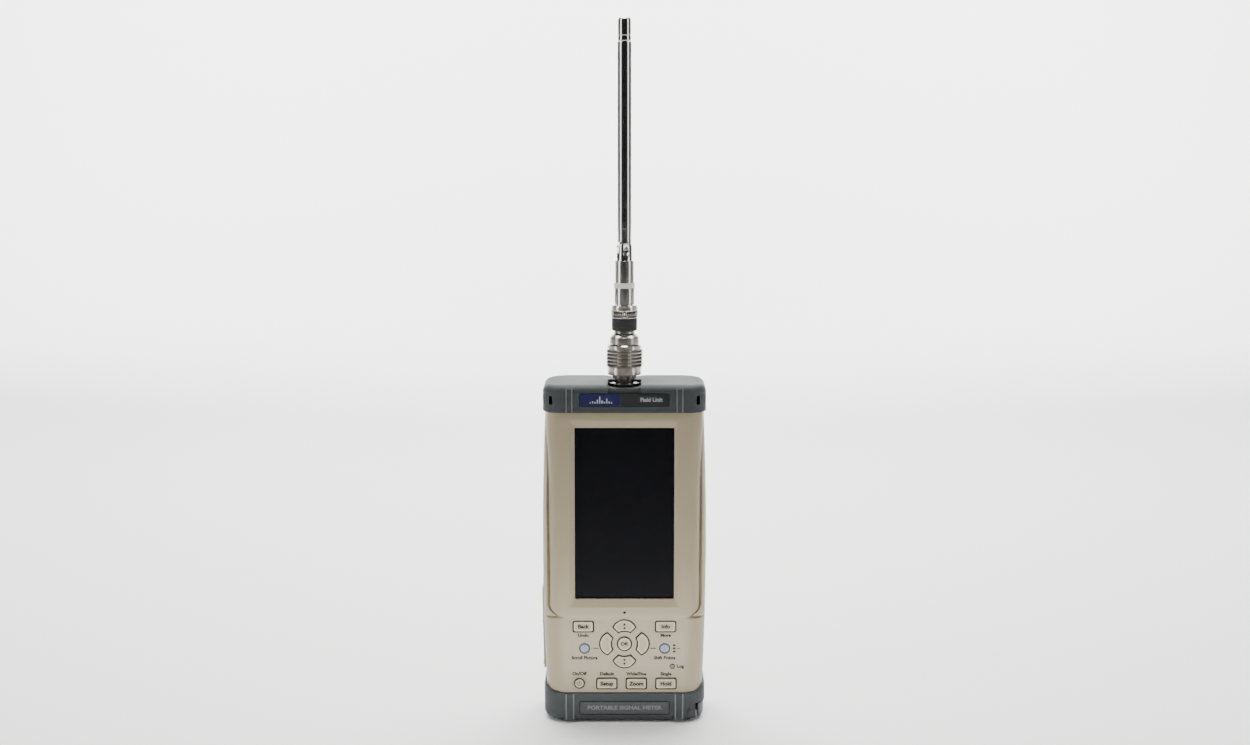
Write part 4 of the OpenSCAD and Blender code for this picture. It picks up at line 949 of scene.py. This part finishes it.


# Near-black nickel for the knurl valleys: painted shade.
groove = turned("knurl_valley_shade", (0.1, 0.094, 0.085, 1), 0.3)
knurled_nut = knurled(spun(nut, 208), 10.1, 199.95, 209.6, 52, 2.0, 0.7)
piece("coupling_nut_ring", knurled_nut, "nut", "chrome", [nickel, groove], "coupling_nut", sharp=24)
eased("adapter_body", "case", "chrome", dull, 0.15)
collar = [(4.95, 220.2), (4.95, 231.5), (5.2, 231.5), (5.2, 232.6), (4.58, 232.6), (4.58, 234.3), (6.9, 234.3),
          (7.3, 233.9), (7.3, 233.6), (7.1, 233.5)]
collar += [(7.4, 233.2 - 0.4 * i) for i in range(15)]
collar += [(7.1, 227.2), (6.2, 227.1), (6.2, 220.2)]
knurled_collar = knurled(spun(collar, 160), 7.42, 227.3, 231.6, 40, 5.0, 0.4)
piece("bayonet_ring", knurled_collar, "collar", "chrome", [nickel, groove], "bayonet_collar", sharp=24)
band = [(6.2, 220.2), (6.2, 226.9), (7.0, 226.9), (7.15, 226.6)]
for i in range(6):
    z = 226.1 - i * 1.0
    band += [(7.15, z + 0.15), (6.98, z), (7.15, z - 0.15)]
band += [(7.15, 220.5), (7.0, 220.2)]
piece("grip_band", spun(band, 96), "collar", "black_rubber", black, "bayonet_band", sharp=50)
white = moulded("white_insulator", srgb(222, 219, 214), 0.42, shade=0.03, grain=900.0, depth=0.004)
eased("rf_jack_insulator", "case", "insulator", white, 0.0)
gold = turned("gold_plate", (0.80, 0.58, 0.24, 1), 0.2, 0.3)
eased("rf_jack_contact", "case", "gold", gold, 0.0)


# ---------------------------------------------------------------------------
# Telescopic antenna. Chromed brass tubes, one inside the next, on a ferrule
# that folds in a clevis; a white ring insulates it from the plug below.
# ---------------------------------------------------------------------------
base = eased_profile([(3.3, 222), (3.95, 222), (3.95, 231.3), (4.9, 231.3), (4.9, 232.3), (4.5, 232.3),
                      (4.5, 234.6), (5.75, 234.6), (5.75, 243.8), (3.6, 243.8), (3.6, 236), (3.3, 236)], 0.2)
piece("antenna_base_tube", spun(base), "swivel", "chrome", bright, "antenna_base", sharp=50)
ring = eased_profile([(0.8, 224), (2.2, 224), (2.2, 236), (3.6, 236), (3.6, 243.8), (5.8, 243.8), (5.8, 246.9),
                      (3.6, 246.9), (3.6, 252), (0.8, 252)], 0.25)
piece("antenna_ring", spun(ring), "swivel", "insulator", white, "antenna_insulator", sharp=50)
eased("elbow_clevis", "swivel", "chrome", bright, 0.2)
eased("elbow_screw", "swivel", "chrome", nickel, 0.12)
eased("whip_foot", "tube_1", "chrome", bright, 0.15)
for i, (low, body) in enumerate(((276.8, "tube_1"), (283, "tube_2"), (284, "tube_3"), (285, "tube_4"))):
    r = 3.95 - 0.5 * i
    wall_in = r - 0.42
    tube = [(wall_in, low), (wall_in, 379.8), (r - 0.32, 379.8), (r - 0.1, 379.75), (r - 0.02, 379.5),
            (r, 379.1), (r, low + 0.3), (r - 0.15, low)]
    piece("whip_section_%d" % (i + 1), spun(tube), body, "chrome", bright, "whip_tube_%d" % (i + 1), sharp=50)
piece("whip_core", spun([(0, 286), (1.75, 286), (1.95, 286.2), (1.95, 388), (0, 388)], 64), "rod", "chrome",
      bright, "whip_rod", sharp=50)
tip = [(1.95, 380.1), (3.45, 380.1), (3.62, 380.25), (3.7, 380.5), (3.7, 382.6), (3.5, 382.8), (3.5, 383.2),
       (3.7, 383.4), (3.7, 391.3)]
tip += [(3.7 - 1.9 * (1 - math.cos(math.radians(a))), 391.3 + 1.9 * math.sin(math.radians(a)))
        for a in range(15, 91, 15)]
tip += [(0.6, 393.2), (0, 393.2), (0, 388), (1.95, 388)]
tip_mesh = bmesh.new()
tip_mesh.free()
piece("whip_end", spun([(1.95, 380.1)] + tip[1:-3] + [(0.4, 393.18), (0.4, 388), (1.95, 388)]), "rod", "chrome",
      bright, "whip_tip", sharp=50)
piece("whip_end_cap", spun([(0, 388.2), (0.45, 388.2), (0.45, 393.19), (0, 393.2)], 24), "rod", "chrome", bright,
      sharp=50)


# ---------------------------------------------------------------------------
# Inside. Circuit boards, screened radio module, lead, battery and sockets; the
# sockets show when the side door is open.
# ---------------------------------------------------------------------------
board = moulded("solder_resist", srgb(24, 82, 52), 0.35, shade=0.2, grain=300.0, depth=0.004, Coat_Weight=0.3)
eased("main_board", "case", "circuit", board, 0.0)
eased("keypad_board", "case", "circuit", board, 0.0)
eased("keypad_mat", "case", "mat", moulded("mat_rubber", srgb(58, 58, 60), 0.6, depth=0.015), 0.0)
tin = moulded("tinned_sheet", srgb(176, 176, 172), 0.3, shade=0.15, grain=500.0, depth=0.004, Metallic=1.0)
eased("rf_module", "case", "frame_metal", tin, 0.0)
eased("rf_lead", "case", "coax", moulded("copper_screen", srgb(176, 116, 74), 0.3, grain=2500.0, depth=0.03,
                                         Metallic=1.0), 0.0)
eased("battery_pack", "case", "wrap", moulded("battery_wrap", srgb(34, 70, 132), 0.3, shade=0.05, grain=500.0,
                                              depth=0.004), 0.0)
eased("usb_host_socket", "case", "frame_metal", tin, 0.05)
eased("usb_device_socket", "case", "frame_metal", tin, 0.05)
nylon = moulded("black_nylon", srgb(30, 30, 31), 0.45, depth=0.008)
eased("audio_socket", "case", "black_plastic", nylon, 0.08)
eased("dc_socket", "case", "black_plastic", nylon, 0.08)
